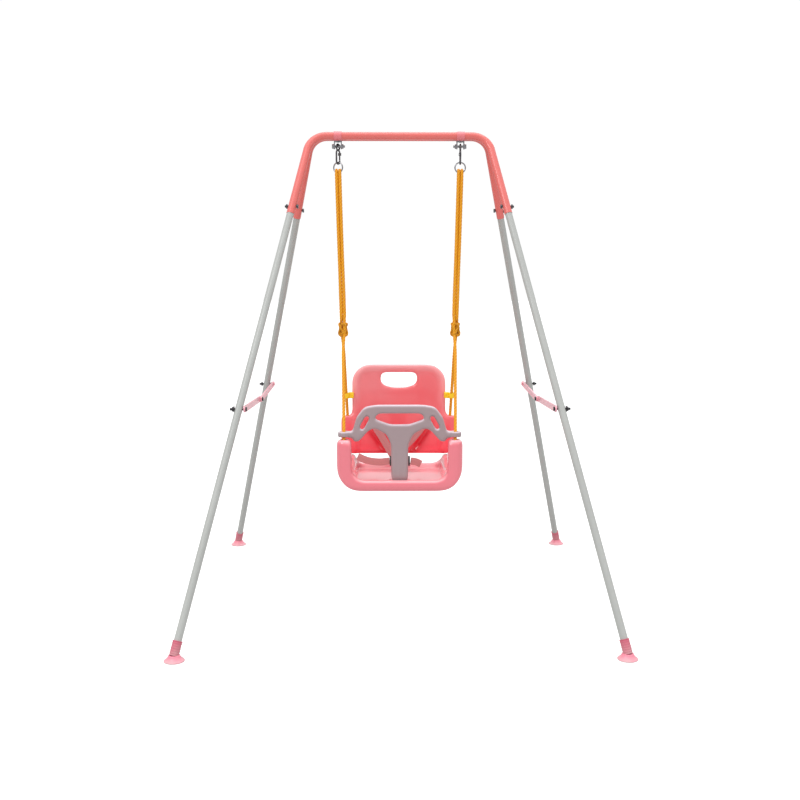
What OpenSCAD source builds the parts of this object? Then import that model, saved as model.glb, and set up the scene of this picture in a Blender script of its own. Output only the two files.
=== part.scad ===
// Toddler swing set: a folding tube frame on four splayed legs, with a three-part bucket seat
// that hangs on ropes. +Z is up, the front faces -Y, and the origin is on the floor, mid-frame.

/* [Frame] */
// Height of the top bars' axes above the floor
bar_height = 1195; // [1000:5:1500]
// From the middle to where a leg's axis would meet the bar's axis
bar_half = 224; // [210:1:300]
// From the middle to a foot, sideways
foot_x = 505; // [400:5:640]
// From the middle to a foot, front to back
foot_y = 500; // [400:5:640]
// Centreline radius of the bends between bar and legs
bend_r = 50; // [40:1:55]
// Outside diameter of the bent top tubes
top_d = 20; // [16:0.5:24]
// Wall of the top tubes
top_wall = 1; // [0.8:0.1:1.5]
// Clear gap between the two top bars
bar_gap = 2; // [1.6:0.1:6]
// Play between a tube and the tube or sleeve around it, per side
tube_play = 0.1; // [0.05:0.01:0.3]
// Wall of the leg tubes
leg_wall = 1; // [0.8:0.1:1.5]
// Along the leg, from the corner to the end of the top tube
joint_at = 220; // [180:1:280]
// Along the leg, from the corner to the joint of the two leg tubes
mid_at = 752; // [650:1:850]
// How far a leg tube goes into the tube above it
insert_len = 45; // [35:1:60]

/* [Feet] */
// Diameter of a suction cup
cup_d = 46; // [40:1:60]
// Height of a suction cup
cup_h = 14; // [12:1:20]
// Length of the sleeve on a leg's end, along the leg
sleeve_len = 24; // [18:1:50]
// Wall of the sleeve
sleeve_wall = 2; // [1.5:0.1:4]

/* [Hangers] */
// From the middle to each hanger
hanger_x = 156; // [150:1:170]
// Width of a bar clamp along the bars
clamp_w = 20; // [16:1:30]
// Wall of a bar clamp around the bars
clamp_wall = 1.5; // [1:0.5:5]
// Play between the turning rear bar and its clamps, per side
bar_play = 0.08; // [0.05:0.01:0.1]
// From a clamp's underside down to the hanger bolt's axis
hanger_drop = 13.5; // [12:0.5:18]
// Diameter of the hanger bolts
hanger_bolt_d = 6; // [5:0.1:7]
// Thickness of the hanger bracket's strip
bracket_t = 2.5; // [2:0.5:3]

/* [Braces] */
// Along the leg, from the corner to a brace's bolt
brace_at = 733; // [650:1:745]
// How far the middle pivot hangs below the two end bolts
brace_sag = 10; // [6:1:20]
// Height of a brace strip
brace_w = 15; // [12:1:18]
// Thickness of a brace strip
brace_t = 4; // [3:0.5:5]
// Diameter of the brace and joint bolts
bolt_d = 6; // [5:0.1:7.2]
// Play between a pivot and its hole, per side
pivot_play = 0.08; // [0.05:0.01:0.1]

/* [Seat] */
// From the hanger bolts down to the seat's underside
seat_drop = 867; // [820:1:900]
// Outer width of the seat
seat_w = 318; // [264:1:384]
// Outer depth of the seat, front to back
seat_d = 266; // [250:1:300]
// Width of a side wall and of its post
wall_w = 38; // [34:1:42]
// Height of the front posts
post_h = 133; // [120:1:150]
// Height of the front rim
rim_h = 29; // [26:1:32]
// Height of the side walls behind the posts
side_h = 50; // [46:1:54]
// Thickness of the seat pan's floor
pan_t = 5; // [3:0.5:6]
// Diameter of the rope
rope_d = 8; // [6:0.1:10]
// Play of the rope in the seat's channels, per side
rope_play = 1.5; // [1:0.5:3]

/* [Backrest] */
// Width of an ear outside the backrest
ear_w = 31; // [26:1:36]
// Height of the backrest
back_h = 247; // [200:1:280]
// Thickness of the backrest
back_t = 16; // [12:1:20]
// Height of the ears on the rear ropes
ear_h = 109; // [90:1:120]
// Width of the hand hole near the top
hand_w = 95; // [80:1:110]
// Height of the hand hole near the top
hand_h = 37; // [28:1:40]

/* [T-bar] */
// Height of the T-bar's top above the posts
tbar_rise = 86; // [70:1:100]
// Thickness of the T-bar
tbar_t = 16; // [12:1:20]
// Width of the stem
stem_w = 44; // [36:1:56]
// Thickness of the tongue below the stem
tongue_t = 8; // [6:0.5:10]
// Depth of the tongue in its slot
tongue_len = 20; // [12:1:24]
// Play of the tongue in its slot, per side
tongue_play = 0.5; // [0.3:0.1:1]
// Play of the rope in the T-bar's loops, per side
loop_play = 4; // [3.5:0.5:5]

/* [Hidden] */
$fn = 48;
eps = 0.01;
gap = 0.4;

FRONT = -1;
REAR = 1;
LEFT = -1;
RIGHT = 1;

// Frame: each bent tube and its legs lie in one plane, leaned about the bar.
top_r = top_d / 2;
leg_r = top_r - top_wall - tube_play;
neck_r = leg_r - leg_wall - tube_play;
bar_y = top_r + bar_gap / 2;
lean = atan((foot_y - bar_y) / bar_height);
plane_len = sqrt(pow(foot_y - bar_y, 2) + pow(bar_height, 2));
splay = atan((foot_x - bar_half) / plane_len);
leg_len = sqrt(pow(foot_x - bar_half, 2) + pow(plane_len, 2));
bend_sweep = 90 - splay;
bend_tangent = bend_r * tan(bend_sweep / 2);

// The point at a distance along a leg's axis, from its corner.
function leg_point(side, face, along) = [
    side * (bar_half + along * sin(splay)),
    face * (bar_y + along * cos(splay) * sin(lean)),
    bar_height - along * cos(splay) * cos(lean)
];

// Distance along the leg at which its axis is at height z.
function along_at(z) = (bar_height - z) / (cos(splay) * cos(lean));

// Fasteners: a head's radius and a nut's width across its flats, as shares of the bolt's diameter.
head_share = 0.85;
nut_share = 1.65;
head_t = 4;
nut_t = 4;
washer_t = 1.2;

// Hangers
clamp_r = top_r + clamp_wall;
clamp_bottom = bar_height - clamp_r;
pivot_z = clamp_bottom - hanger_drop;
bracket_in = 15;
bracket_out = bracket_in + 2 * bracket_t;
bracket_d = 14;
screw_d = 4;
screw_len = 6;
screw_head_t = 1;
hanger_tip = 4;

// Snap hooks and rings
wire_r = 2.2;
eye_r = hanger_bolt_d / 2 + 2 + wire_r;
eye_z = -(eye_r - wire_r - hanger_bolt_d / 2 - 0.3);
hook_r = 7.5;
hook_top = eye_z - eye_r - hook_r;
hook_low = -36;
gate_r = 1.9;
gate_pin_r = 0.8;
left_hook_yaw = 30;
ring_wire_r = 1.75;
ring_r = 13.25;
ring_z = hook_low - hook_r + wire_r + ring_wire_r + 0.1 - ring_r;

// Braces
link_a = leg_point(RIGHT, FRONT, brace_at);
leg_clear = 1;
link_plane = leg_r / cos(splay) + brace_w / 2 * tan(splay) + leg_clear;
second_plane = link_plane + brace_t + gap;
link_out = second_plane + brace_t + gap;
link_len = sqrt(pow(link_a[1], 2) + pow(brace_sag, 2));
link_tilt = atan(brace_sag / -link_a[1]);
bolt_hole_r = bolt_d / 2 + pivot_play;
rivet_t = 3;
brace_tip = 5;

// Seat, measured from the hanger bolts' axis
front_y = -148;
rear_y = front_y + seat_d;
post_d = 46;
post_x = (seat_w - wall_w) / 2;
post_y = front_y + post_d / 2;
ear_y = rear_y - 14;
channel_r = rope_d / 2 + rope_play;
inner_half = seat_w / 2 - wall_w;
pan_half = inner_half - 8;
post_top = post_h - seat_drop;
pan_z = 16;
knot_r = 9.5;
knot_h = 14;
knot_recess = 44;
front_rim = 22;
rear_rim = 26;
boss_d = 24;
rear_boss_h = side_h + 5;

// T-bar: it slides up along the front ropes, so its tongue and loops lie along them.
knot_drop = 485;
knot_y = -4;
rope_lean = atan((knot_y - post_y) / (-knot_drop - post_top));
tbar_y = post_y + 8;
tbar_top = post_h + tbar_rise;
loop_h = 18;
loop_r = 17;
loop_hole_r = rope_d / 2 + loop_play;

// Ropes: each is one rope, from under the front post, twice over the ring, to under the rear
// corner. Heights are measured from the hanger bolts' axis, and x is for the right side.
rope_route = [
    [140, -125, -833], [140, -125, -800], [140, -125, -738], [140.3, -121.5, -727],
    [140.8, -114, -712], [143, -66, -610], [145, -22, -515], [143, -9, -480], [142, -7, -455],
    [147, -6, -260], [151.8, -6.5, -68], [151.8, -5.5, -62], [151.8, 0, -59], [151.8, 5.5, -62],
    [151.8, 6.5, -68], [147, 6, -260], [142, 6, -420], [142, 5, -432], [143.5, 2.5, -438.5],
    [146, 0, -441], [148.5, -2.5, -438.5], [150, -5, -432], [150, -6, -420], [155.2, -6, -260],
    [160.2, -6.5, -68], [160.2, -5.5, -62], [160.2, 0, -59], [160.2, 5.5, -62], [160.2, 6.5, -68],
    [155.2, 6, -260], [150.5, 7, -455], [149, 9, -480], [146, 22, -515], [143, 62, -610],
    [140.5, 98.5, -690], [140.1, 103, -701], [140, 104, -712], [140, 104, -780], [140, 104, -833]
];
rope_sides = 10;

// Straps of the harness, as points along their middle. Heights are from the seat's underside, and the
// harness keeps its distance from the backrest.
strap_w = 20;
strap_t = 1.6;
left_shoulder = [
    [-70, ear_y - 10, 145], [-66, ear_y - 18, 137], [-43, ear_y - 30, 101],
    [-24, ear_y - 42, 70], [-17, ear_y - 48, 58]
];
right_shoulder = [
    [70, ear_y - 10, 145], [66, ear_y - 18, 137], [36, ear_y - 30, 101],
    [4, ear_y - 42, 72], [-8, ear_y - 48, 60]
];
waist_route = [
    [1 - pan_half, ear_y - 42, 55], [-85, ear_y - 48, 45], [-53, ear_y - 54, 42], [-25, ear_y - 56, 45]
];
tail_route = [[31, ear_y - 56, 45], [45, ear_y - 57, 43], [59, ear_y - 60, 37]];
buckle_at = [-25, ear_y - 56, 45];
buckle_turn = -26;

// ---------------------------------------------------------------- outlines and sweeps

function unit(v) = v / norm(v);

// The arc that rounds one corner [x, y, radius] of an outline.
function corner_arc(p, before, after) =
    let (at = [p[0], p[1]], u = unit([before[0], before[1]] - at), v = unit([after[0], after[1]] - at))
    let (half = acos(u * v) / 2, c = at + unit(u + v) * p[2] / sin(half))
    let (start = at + u * p[2] / tan(half) - c, end = at + v * p[2] / tan(half) - c)
    let (from = atan2(start[1], start[0]), to = atan2(end[1], end[0]))
    let (turn = (to - from + 540) % 360 - 180, steps = max(2, ceil(abs(turn) / 12)))
    [for (i = [0:steps]) c + p[2] * [cos(from + turn * i / steps), sin(from + turn * i / steps)]];

// An outline whose corners [x, y, radius] are rounded; radius 0 keeps a sharp corner.
function rounded(points) =
    let (n = len(points))
    [for (i = [0:n - 1])
        let (p = points[i])
        each p[2] == 0 ? [[p[0], p[1]]] : corner_arc(p, points[(i + n - 1) % n], points[(i + 1) % n])];

// The right half of an outline, joined to its mirror image.
function both_halves(right) =
    concat(right, [for (i = [len(right) - 1:-1:0]) [-right[i][0], right[i][1], right[i][2]]]);

// An outline in x and z, given thickness along y.
module upright(points, y_from, y_to) {
    translate([0, y_to, 0])
        rotate([90, 0, 0])
            linear_extrude(height = y_to - y_from)
                polygon(rounded(points));
}

// A slot with round ends, between two points in x and z, cut along y.
module slot(a, b, r, y_from, y_to) {
    turn = atan2(b[1] - a[1], b[0] - a[0]);
    half_turn = [for (i = [0:8]) i * 22.5 - 90];
    translate([0, y_to, 0])
        rotate([90, 0, 0])
            linear_extrude(height = y_to - y_from)
                polygon(concat(
                    [for (t = half_turn) b + r * [cos(turn + t), sin(turn + t)]],
                    [for (t = half_turn) a - r * [cos(turn + t), sin(turn + t)]]
                ));
}

function tangent(path, i) = unit(path[min(i + 1, len(path) - 1)] - path[max(i - 1, 0)]);

// A tube of one radius, with one ring of points at each point of its path.
module swept_tube(path, r, sides) {
    n = len(path);
    rings = [for (i = [0:n - 1])
        let (t = tangent(path, i), u = unit([1, 0, 0] - t[0] * t), v = cross(t, u))
        for (k = [0:sides - 1]) path[i] + r * (cos(360 * k / sides) * u + sin(360 * k / sides) * v)];
    walls = [for (i = [0:n - 2]) for (k = [0:sides - 1])
        let (low = i * sides, high = low + sides, next = (k + 1) % sides)
        [low + k, high + k, high + next, low + next]];
    ends = [[for (k = [0:sides - 1]) k], [for (k = [sides - 1:-1:0]) (n - 1) * sides + k]];
    polyhedron(points = rings, faces = concat(walls, ends), convexity = 8);
}

// A flat strap of rectangular section along a path; across is the direction of its width.
module strap(path, across) {
    n = len(path);
    rings = [for (i = [0:n - 1])
        let (t = tangent(path, i), w = unit(across - (across * t) * t), m = cross(t, w))
        for (c = [[-1, -1], [1, -1], [1, 1], [-1, 1]])
            path[i] + c[0] * strap_w / 2 * w + c[1] * strap_t / 2 * m];
    walls = [for (i = [0:n - 2]) for (k = [0:3])
        let (a = i * 4 + k, b = i * 4 + (k + 1) % 4)
        each [[a, a + 4, b + 4], [a, b + 4, b]]];
    last = 4 * n - 4;
    ends = [[0, 1, 2], [0, 2, 3], [last, last + 2, last + 1], [last, last + 3, last + 2]];
    polyhedron(points = rings, faces = concat(walls, ends));
}

module along_x(from, to, r) {
    translate([from, 0, 0])
        rotate([0, 90, 0])
            cylinder(h = to - from, r = r);
}

module hex_along_x(from, to, across) {
    translate([from, 0, 0])
        rotate([0, 90, 0])
            cylinder(h = to - from, d = across / cos(30), $fn = 6);
}

// ---------------------------------------------------------------- frame

// Puts children in a bent tube's plane: x is sideways, -z runs down the plane from the bar.
module in_plane(face) {
    translate([0, face * bar_y, bar_height])
        rotate([face * lean, 0, 0])
            children();
}

// Puts children on a leg's axis: -z runs down the leg from its corner.
module on_leg(side, face) {
    in_plane(face)
        translate([side * bar_half, 0, 0])
            rotate([0, -side * splay, 0])
                children();
}

module leg_stretch(from, to, r) {
    translate([0, 0, -to])
        cylinder(h = to - from, r = r);
}

// A bend is a hair fuller than the straight tube, which runs a little way into it.
bend_swell = 0.05;
bend_lap = 0.5;

module bend(r) {
    translate([bar_half - bend_tangent, 0, -bend_r])
        rotate([90, 0, 0])
            rotate([0, 0, splay])
                rotate_extrude(angle = bend_sweep)
                    translate([bend_r, 0])
                        circle(r = r + bend_swell);
}

// The bent tube's outer or inner shape; spare lengthens its two ends.
module bent_tube(face, r, spare) {
    in_plane(face) {
        along_x(bend_tangent - bar_half - bend_lap, bar_half - bend_tangent + bend_lap, r);
        bend(r);
        mirror([1, 0, 0])
            bend(r);
    }
    for (side = [LEFT, RIGHT])
        on_leg(side, face)
            leg_stretch(bend_tangent - bend_lap, joint_at + spare, r);
}

// A hole or shank along x through a leg at a distance along it.
module through_leg(side, face, along, r, half) {
    translate(leg_point(side, face, along))
        along_x(-half, half, r);
}

// Along the leg, from the corner to the bolt that joins the top tube and the leg.
bolt_at = joint_at - 20;

module top_tube(face) {
    color("lightcoral")
        difference() {
            bent_tube(face, top_r, 0);
            bent_tube(face, top_r - top_wall, 1);
            for (side = [LEFT, RIGHT])
                through_leg(side, face, bolt_at, bolt_hole_r, 2 * top_d);
        }
}

module upper_leg(side, face) {
    color("silver")
        difference() {
            on_leg(side, face)
                difference() {
                    leg_stretch(joint_at - insert_len, mid_at, leg_r);
                    leg_stretch(joint_at - insert_len - 1, mid_at + 1, leg_r - leg_wall);
                }
            through_leg(side, face, bolt_at, bolt_hole_r, 2 * top_d);
            through_leg(side, face, brace_at, bolt_hole_r, 2 * top_d);
        }
}

foot_end = along_at(cup_h + 2 + leg_r * sin(acos(bar_height / leg_len)));

module lower_leg(side, face) {
    color("silver")
        difference() {
            on_leg(side, face)
                difference() {
                    union() {
                        leg_stretch(mid_at - insert_len, mid_at + eps, neck_r);
                        leg_stretch(mid_at, foot_end, leg_r);
                    }
                    leg_stretch(mid_at - insert_len - 1, foot_end + 1, neck_r - leg_wall);
                }
            through_leg(side, face, brace_at, bolt_hole_r, 2 * top_d);
        }
}

sleeve_r = leg_r + tube_play + sleeve_wall;

module sleeve(side, face) {
    color("palevioletred")
        difference() {
            on_leg(side, face)
                leg_stretch(foot_end - sleeve_len, leg_len, sleeve_r);
            on_leg(side, face)
                leg_stretch(foot_end - sleeve_len - 1, foot_end, leg_r + tube_play);
            translate([side * foot_x, face * foot_y, cup_h - 2 * cup_d])
                cube([4 * cup_d, 4 * cup_d, 4 * cup_d], center = true);
        }
}

cup_centre = along_at(cup_h);
cup_lip = 3;

module cup(side, face) {
    at = leg_point(side, face, cup_centre);
    color("pink")
        translate([at[0], at[1], 0])
            rotate_extrude()
                polygon([
                    [0, 5], [cup_d / 2 - cup_lip, 0], [cup_d / 2, 0], [cup_d / 2, 2],
                    [cup_d / 2 - 4, 5], [sleeve_r + 4, 9.5],
                    [sleeve_r + 2, cup_h], [0, cup_h]
                ]);
}

// A bolt through each leg of one bent tube, its head inside and its tip outside.
bolt_reach = top_r / cos(splay) + top_r * tan(splay) / 2;
joint_tip = 3;

module joint_bolts(face) {
    color("gray")
        for (side = [LEFT, RIGHT])
            translate(leg_point(side, face, bolt_at))
                mirror([side < 0 ? 1 : 0, 0, 0]) {
                    along_x(-bolt_reach - eps, bolt_reach + nut_t + joint_tip, bolt_d / 2);
                    along_x(-bolt_reach - head_t, -bolt_reach, bolt_d * head_share);
                }
}

module nut(from, across) {
    difference() {
        hex_along_x(from, from + nut_t, across);
        along_x(from - 1, from + nut_t + 1, bolt_d / 2);
    }
}

module joint_nuts(face) {
    color("gray")
        for (side = [LEFT, RIGHT])
            translate(leg_point(side, face, bolt_at))
                mirror([side < 0 ? 1 : 0, 0, 0])
                    nut(bolt_reach, bolt_d * nut_share);
}

// ---------------------------------------------------------------- hangers

module bar_clamp(side) {
    color("lightcoral")
        translate([side * hanger_x - clamp_w / 2, 0, bar_height])
            difference() {
                union() {
                    for (face = [FRONT, REAR])
                        translate([0, face * bar_y, 0])
                            along_x(0, clamp_w, clamp_r);
                    translate([0, -bar_y, -clamp_r])
                        cube([clamp_w, 2 * bar_y, 2 * clamp_r]);
                }
                translate([0, FRONT * bar_y, 0])
                    along_x(-1, clamp_w + 1, top_r);
                translate([0, REAR * bar_y, 0])
                    along_x(-1, clamp_w + 1, top_r + bar_play);
                translate([clamp_w / 2, 0, -clamp_r - 1])
                    cylinder(h = screw_len + 1, d = screw_d);
            }
}

module hanger_bracket(side) {
    bottom = pivot_z - bracket_d / 2;
    color("silver")
        translate([side * hanger_x, 0, 0])
            difference() {
                union() {
                    translate([-bracket_out / 2, -bracket_d / 2, pivot_z])
                        cube([bracket_out, bracket_d, clamp_bottom - pivot_z]);
                    translate([0, 0, pivot_z])
                        along_x(-bracket_out / 2, bracket_out / 2, bracket_d / 2);
                }
                translate([-bracket_in / 2, -bracket_d, bottom - 1])
                    cube([bracket_in, 2 * bracket_d, clamp_bottom - bracket_t - bottom + 1]);
                translate([0, 0, pivot_z])
                    along_x(-bracket_out, bracket_out, hanger_bolt_d / 2);
                translate([0, 0, pivot_z])
                    cylinder(h = clamp_bottom - pivot_z + 1, d = screw_d);
            }
}

module bracket_screws() {
    color("silver")
        for (side = [LEFT, RIGHT])
            translate([side * hanger_x, 0, clamp_bottom - bracket_t - screw_head_t]) {
                cylinder(h = screw_head_t, d = screw_d * 1.8);
                cylinder(h = screw_head_t + bracket_t + screw_len - 0.5, d = screw_d);
            }
}

// The heads are on the outer side, the nuts on the inner side.
module hanger_bolts() {
    hanger_tip_x = -bracket_out / 2 - nut_t - hanger_tip;
    color("gray")
        for (side = [LEFT, RIGHT])
            translate([side * hanger_x, 0, pivot_z])
                mirror([side < 0 ? 1 : 0, 0, 0]) {
                    along_x(hanger_tip_x, bracket_out / 2 + eps, hanger_bolt_d / 2);
                    along_x(bracket_out / 2, bracket_out / 2 + washer_t, hanger_bolt_d * 1.1);
                    hex_along_x(bracket_out / 2 + washer_t - eps, bracket_out / 2 + washer_t + nut_t,
                        hanger_bolt_d * nut_share);
                }
}

module hanger_nuts() {
    color("gray")
        for (side = [LEFT, RIGHT])
            translate([side * hanger_x, 0, pivot_z])
                mirror([side < 0 ? 1 : 0, 0, 0])
                    difference() {
                        hex_along_x(-bracket_out / 2 - nut_t, -bracket_out / 2, hanger_bolt_d * nut_share);
                        along_x(-bracket_out, 0, hanger_bolt_d / 2);
                    }
}

// ---------------------------------------------------------------- braces

// Puts children at a brace's bolt, with x pointing inward from the leg.
module at_brace(side, face) {
    translate(leg_point(side, face, brace_at))
        mirror([side > 0 ? 1 : 0, 0, 0])
            children();
}

module brace_front_bolts() {
    color("dimgray")
        for (side = [LEFT, RIGHT])
            at_brace(side, FRONT) {
                along_x(-link_plane - nut_t - brace_tip, second_plane + eps, bolt_d / 2);
                along_x(second_plane, second_plane + rivet_t, bolt_d * head_share);
            }
}

module brace_front_nuts() {
    color("dimgray")
        for (side = [LEFT, RIGHT])
            at_brace(side, FRONT) {
                difference() {
                    union() {
                        hex_along_x(-link_plane - nut_t, -link_plane, bolt_d * nut_share);
                        along_x(-link_plane - eps, -link_plane + washer_t, bolt_d * 1.25);
                    }
                    along_x(-link_plane - 2 * nut_t, 0, bolt_d / 2);
                }
            }
}

// The rear bolts end flush under the rear braces' rivet heads.
module brace_rear_bolts() {
    color("dimgray")
        for (side = [LEFT, RIGHT])
            at_brace(side, REAR) {
                along_x(-link_plane - nut_t - brace_tip, second_plane - gap, bolt_d / 2);
                hex_along_x(-link_plane - nut_t, -link_plane, bolt_d * nut_share);
                along_x(link_plane, second_plane - gap, bolt_d * head_share);
            }
}

// A strip along +y from the origin, with a hole at each end and a pressed rib along its middle.
module brace_strip(x, rib_side, near_r, far_r) {
    rib_in = brace_w * 0.9;
    difference() {
        union() {
            along_x(x, x + brace_t, brace_w / 2);
            translate([0, link_len, 0])
                along_x(x, x + brace_t, brace_w / 2);
            translate([x, 0, -brace_w / 2])
                cube([brace_t, link_len, brace_w]);
        }
        along_x(x - 1, x + brace_t + 1, near_r);
        translate([0, link_len, 0])
            along_x(x - 1, x + brace_t + 1, far_r);
        translate([rib_side > 0 ? x - 1 : x + brace_t - 1, rib_in, -brace_w / 4])
            cube([2, link_len - 2 * rib_in, brace_w / 2]);
    }
}

module front_brace(side) {
    color("lightpink")
        at_brace(side, FRONT)
            rotate([-link_tilt, 0, 0])
                brace_strip(link_plane, 1, bolt_hole_r, bolt_d / 2);
}

module rear_brace(side) {
    color("lightpink")
        at_brace(side, REAR)
            rotate([180 + link_tilt, 0, 0]) {
                brace_strip(second_plane, -1, bolt_d / 2, bolt_hole_r);
                along_x(second_plane, second_plane + brace_t + rivet_t - 0.5, bolt_d * head_share);
            }
}

// The middle pivot: fixed in the front brace, turning in the rear one.
module brace_pin(side) {
    color("dimgray")
        at_brace(side, FRONT)
            rotate([-link_tilt, 0, 0])
                translate([0, link_len, 0]) {
                    along_x(link_plane - rivet_t, link_plane, bolt_d * head_share);
                    along_x(link_plane - eps, link_out + eps, bolt_d / 2);
                    along_x(link_out, link_out + rivet_t, bolt_d * head_share);
                }
}

// ---------------------------------------------------------------- snap hooks and rings

// Puts children at a hanger bolt's middle, turned about the vertical.
module at_hanger(side, turn) {
    translate([side * hanger_x, 0, pivot_z])
        rotate([0, 0, turn])
            children();
}

function hook_turn(side) = side < 0 ? 90 - left_hook_yaw : 90;

// An arc of wire in the x-z plane, from one angle over a sweep.
module wire_arc(r, from, sweep) {
    rotate([90, 0, 0])
        rotate([0, 0, from])
            rotate_extrude(angle = sweep)
                translate([r, 0])
                    circle(r = wire_r);
}

gate_top = hook_top - 3.5;

// The gate hangs between two cheeks of the hook, on a pin.
cheek_t = 1;
cheek_half = gate_r + gap + cheek_t;
cheek_d = 4.8;
cheek_drop = 2.4;
nose_len = 1.5;

module snap_hook(side) {
    color("dimgray")
        at_hanger(side, hook_turn(side)) {
            translate([0, 0, eye_z])
                wire_arc(eye_r, 0, 360);
            translate([0, 0, hook_top])
                wire_arc(hook_r, 0, 180);
            translate([0, 0, hook_low])
                wire_arc(hook_r, 180, 180);
            translate([-hook_r, 0, hook_low])
                cylinder(h = hook_top - hook_low, r = wire_r);
            translate([hook_r, 0, hook_low - eps])
                cylinder(h = nose_len, r = wire_r);
            for (y = [-1, 1])
                translate([hook_r, y * (cheek_half - cheek_t / 2), (hook_top + gate_top - cheek_drop) / 2])
                    cube([cheek_d, cheek_t, hook_top - gate_top + cheek_drop], center = true);
            translate([hook_r - cheek_d / 2, -cheek_half, hook_top - 0.8])
                cube([cheek_d, 2 * cheek_half, 1.6]);
            translate([hook_r, cheek_half, gate_top])
                rotate([90, 0, 0])
                    cylinder(h = 2 * cheek_half, r = gate_pin_r);
        }
}

module hook_gate(side) {
    color("gray")
        at_hanger(side, hook_turn(side))
            difference() {
                union() {
                    translate([hook_r, 0, gate_top])
                        sphere(r = gate_r);
                    translate([hook_r, 0, hook_low + nose_len + 0.7])
                        cylinder(h = gate_top - hook_low - nose_len - 0.7, r = gate_r);
                }
                translate([hook_r, 10, gate_top])
                    rotate([90, 0, 0])
                        cylinder(h = 20, r = gate_pin_r + pivot_play);
            }
}

module ring(side) {
    color("gainsboro")
        at_hanger(side, side < 0 ? -left_hook_yaw : 0)
            translate([0, 0, ring_z])
                rotate([90, 0, 0])
                    rotate_extrude()
                        translate([ring_r, 0])
                            circle(r = ring_wire_r);
}

// ---------------------------------------------------------------- ropes

module rope(side) {
    color("orange")
        translate([0, 0, pivot_z])
            mirror([side < 0 ? 1 : 0, 0, 0])
                swept_tube(rope_route, rope_d / 2, rope_sides);
}

// The knot that gathers the rope's lengths, around the lower turn.
gather_x = 146;
gather_low = -488;

module wrap_knot(side) {
    color("darkorange")
        translate([side * gather_x, 0, pivot_z + gather_low])
            rotate_extrude()
                polygon([
                    [0, 0], [9, 0], [12, 5], [11, 10], [13.5, 16], [12.5, 22], [14, 28],
                    [12.5, 34], [13, 40], [10, 44], [0, 44]
                ]);
}

module rope_end_knots() {
    color("darkorange")
        for (side = [LEFT, RIGHT], y = [post_y, ear_y])
            translate([side * post_x, y, pivot_z - seat_drop + knot_recess - knot_h])
                rotate_extrude()
                    polygon([
                        [0, 0], [knot_r - 5, 0], [knot_r - 1, 3], [knot_r, 7], [knot_r - 1, knot_h - 2],
                        [knot_r - 3.5, knot_h], [0, knot_h]
                    ]);
}

// ---------------------------------------------------------------- seat

// Children's z is measured up from the seat's underside.
module at_seat() {
    translate([0, 0, pivot_z - seat_drop])
        children();
}

corner_r = 62;

module seat_shape() {
    half = seat_w / 2;
    intersection() {
        upright(both_halves([
            [half, 0, corner_r], [half, post_h, 12],
            [inner_half, post_h, 10], [inner_half, rim_h, 30]
        ]), front_y, rear_y);
        translate([-half, 0, 0])
            rotate([90, 0, 90])
                linear_extrude(height = seat_w)
                    polygon(rounded([
                        [front_y, 0, 14], [front_y, post_h, 14], [front_y + post_d, post_h, 14],
                        [front_y + post_d, side_h, 40], [rear_y - 48, side_h, 20],
                        [rear_y - 38, rear_boss_h, 6], [rear_y, rear_boss_h, 3], [rear_y, 0, 14]
                    ]));
        linear_extrude(height = post_h)
            polygon(rounded([
                [-half, front_y, 20], [half, front_y, 20], [half, rear_y, 26], [-half, rear_y, 26]
            ]));
    }
}

// The space of the tongue, grown by play, along the front ropes' slope.
module tongue(play, len) {
    translate([0, tbar_y, rim_h])
        rotate([-rope_lean, 0, 0])
            translate([-stem_w / 2 + 2 - play, -tongue_t / 2 - play, -len])
                cube([stem_w - 4 + 2 * play, tongue_t + 2 * play, len + 3]);
}

module seat_base() {
    color("hotpink")
        at_seat()
            difference() {
                union() {
                    difference() {
                        seat_shape();
                        linear_extrude(height = 2 * rim_h)
                            polygon(rounded([
                                [-pan_half, front_y + front_rim, 24], [pan_half, front_y + front_rim, 24],
                                [pan_half, rear_y - rear_rim, 24], [-pan_half, rear_y - rear_rim, 24]
                            ]));
                    }
                    translate([-pan_half - 1, front_y + front_rim - 1, pan_z - pan_t])
                        cube([2 * pan_half + 2, seat_d - front_rim - rear_rim + 2, pan_t]);
                    translate([-stem_w / 2 - 10, front_y + front_rim - 1, 2])
                        cube([stem_w + 20, boss_d, rim_h - 2]);
                }
                tongue(tongue_play, tongue_len + 1.5);
                for (side = [LEFT, RIGHT], y = [post_y, ear_y])
                    translate([side * post_x, y, -1]) {
                        cylinder(h = post_h + 2, r = channel_r);
                        cylinder(h = knot_recess + 1, r = knot_r + 1.5);
                    }
            }
}

hand_top = back_h - 25;
hand_low = hand_top - hand_h;
back_dish = 5;
ear_proud = 4;

module backrest() {
    half = seat_w / 2 - ear_w;
    ear_out = seat_w / 2 - 1;
    face_y = ear_y - back_t / 2;
    color("salmon")
        at_seat()
            translate([0, 0, rear_boss_h])
                difference() {
                    union() {
                        upright(both_halves([[half, 0, 16], [half, back_h, 51]]),
                            face_y, face_y + back_t);
                        for (side = [LEFT, RIGHT])
                            mirror([side < 0 ? 1 : 0, 0, 0])
                                upright([
                                    [half - 14, 0, 4], [ear_out, 0, 4],
                                    [ear_out, ear_h, 12], [half - 14, ear_h, 6]
                                ], face_y - ear_proud, face_y + back_t + ear_proud);
                    }
                    upright(both_halves([[half - 16, 16, 12], [half - 16, back_h - 14, 38]]),
                        face_y - back_t, face_y + back_dish);
                    upright(both_halves([
                        [18, hand_low, 60], [hand_w / 2, hand_low + 9, 13], [hand_w / 2, hand_top, 9]
                    ]), face_y - back_t, face_y + 2 * back_t);
                    for (side = [LEFT, RIGHT])
                        translate([side * post_x, ear_y, -1])
                            cylinder(h = ear_h + 2, r = channel_r);
                }
}

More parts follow.
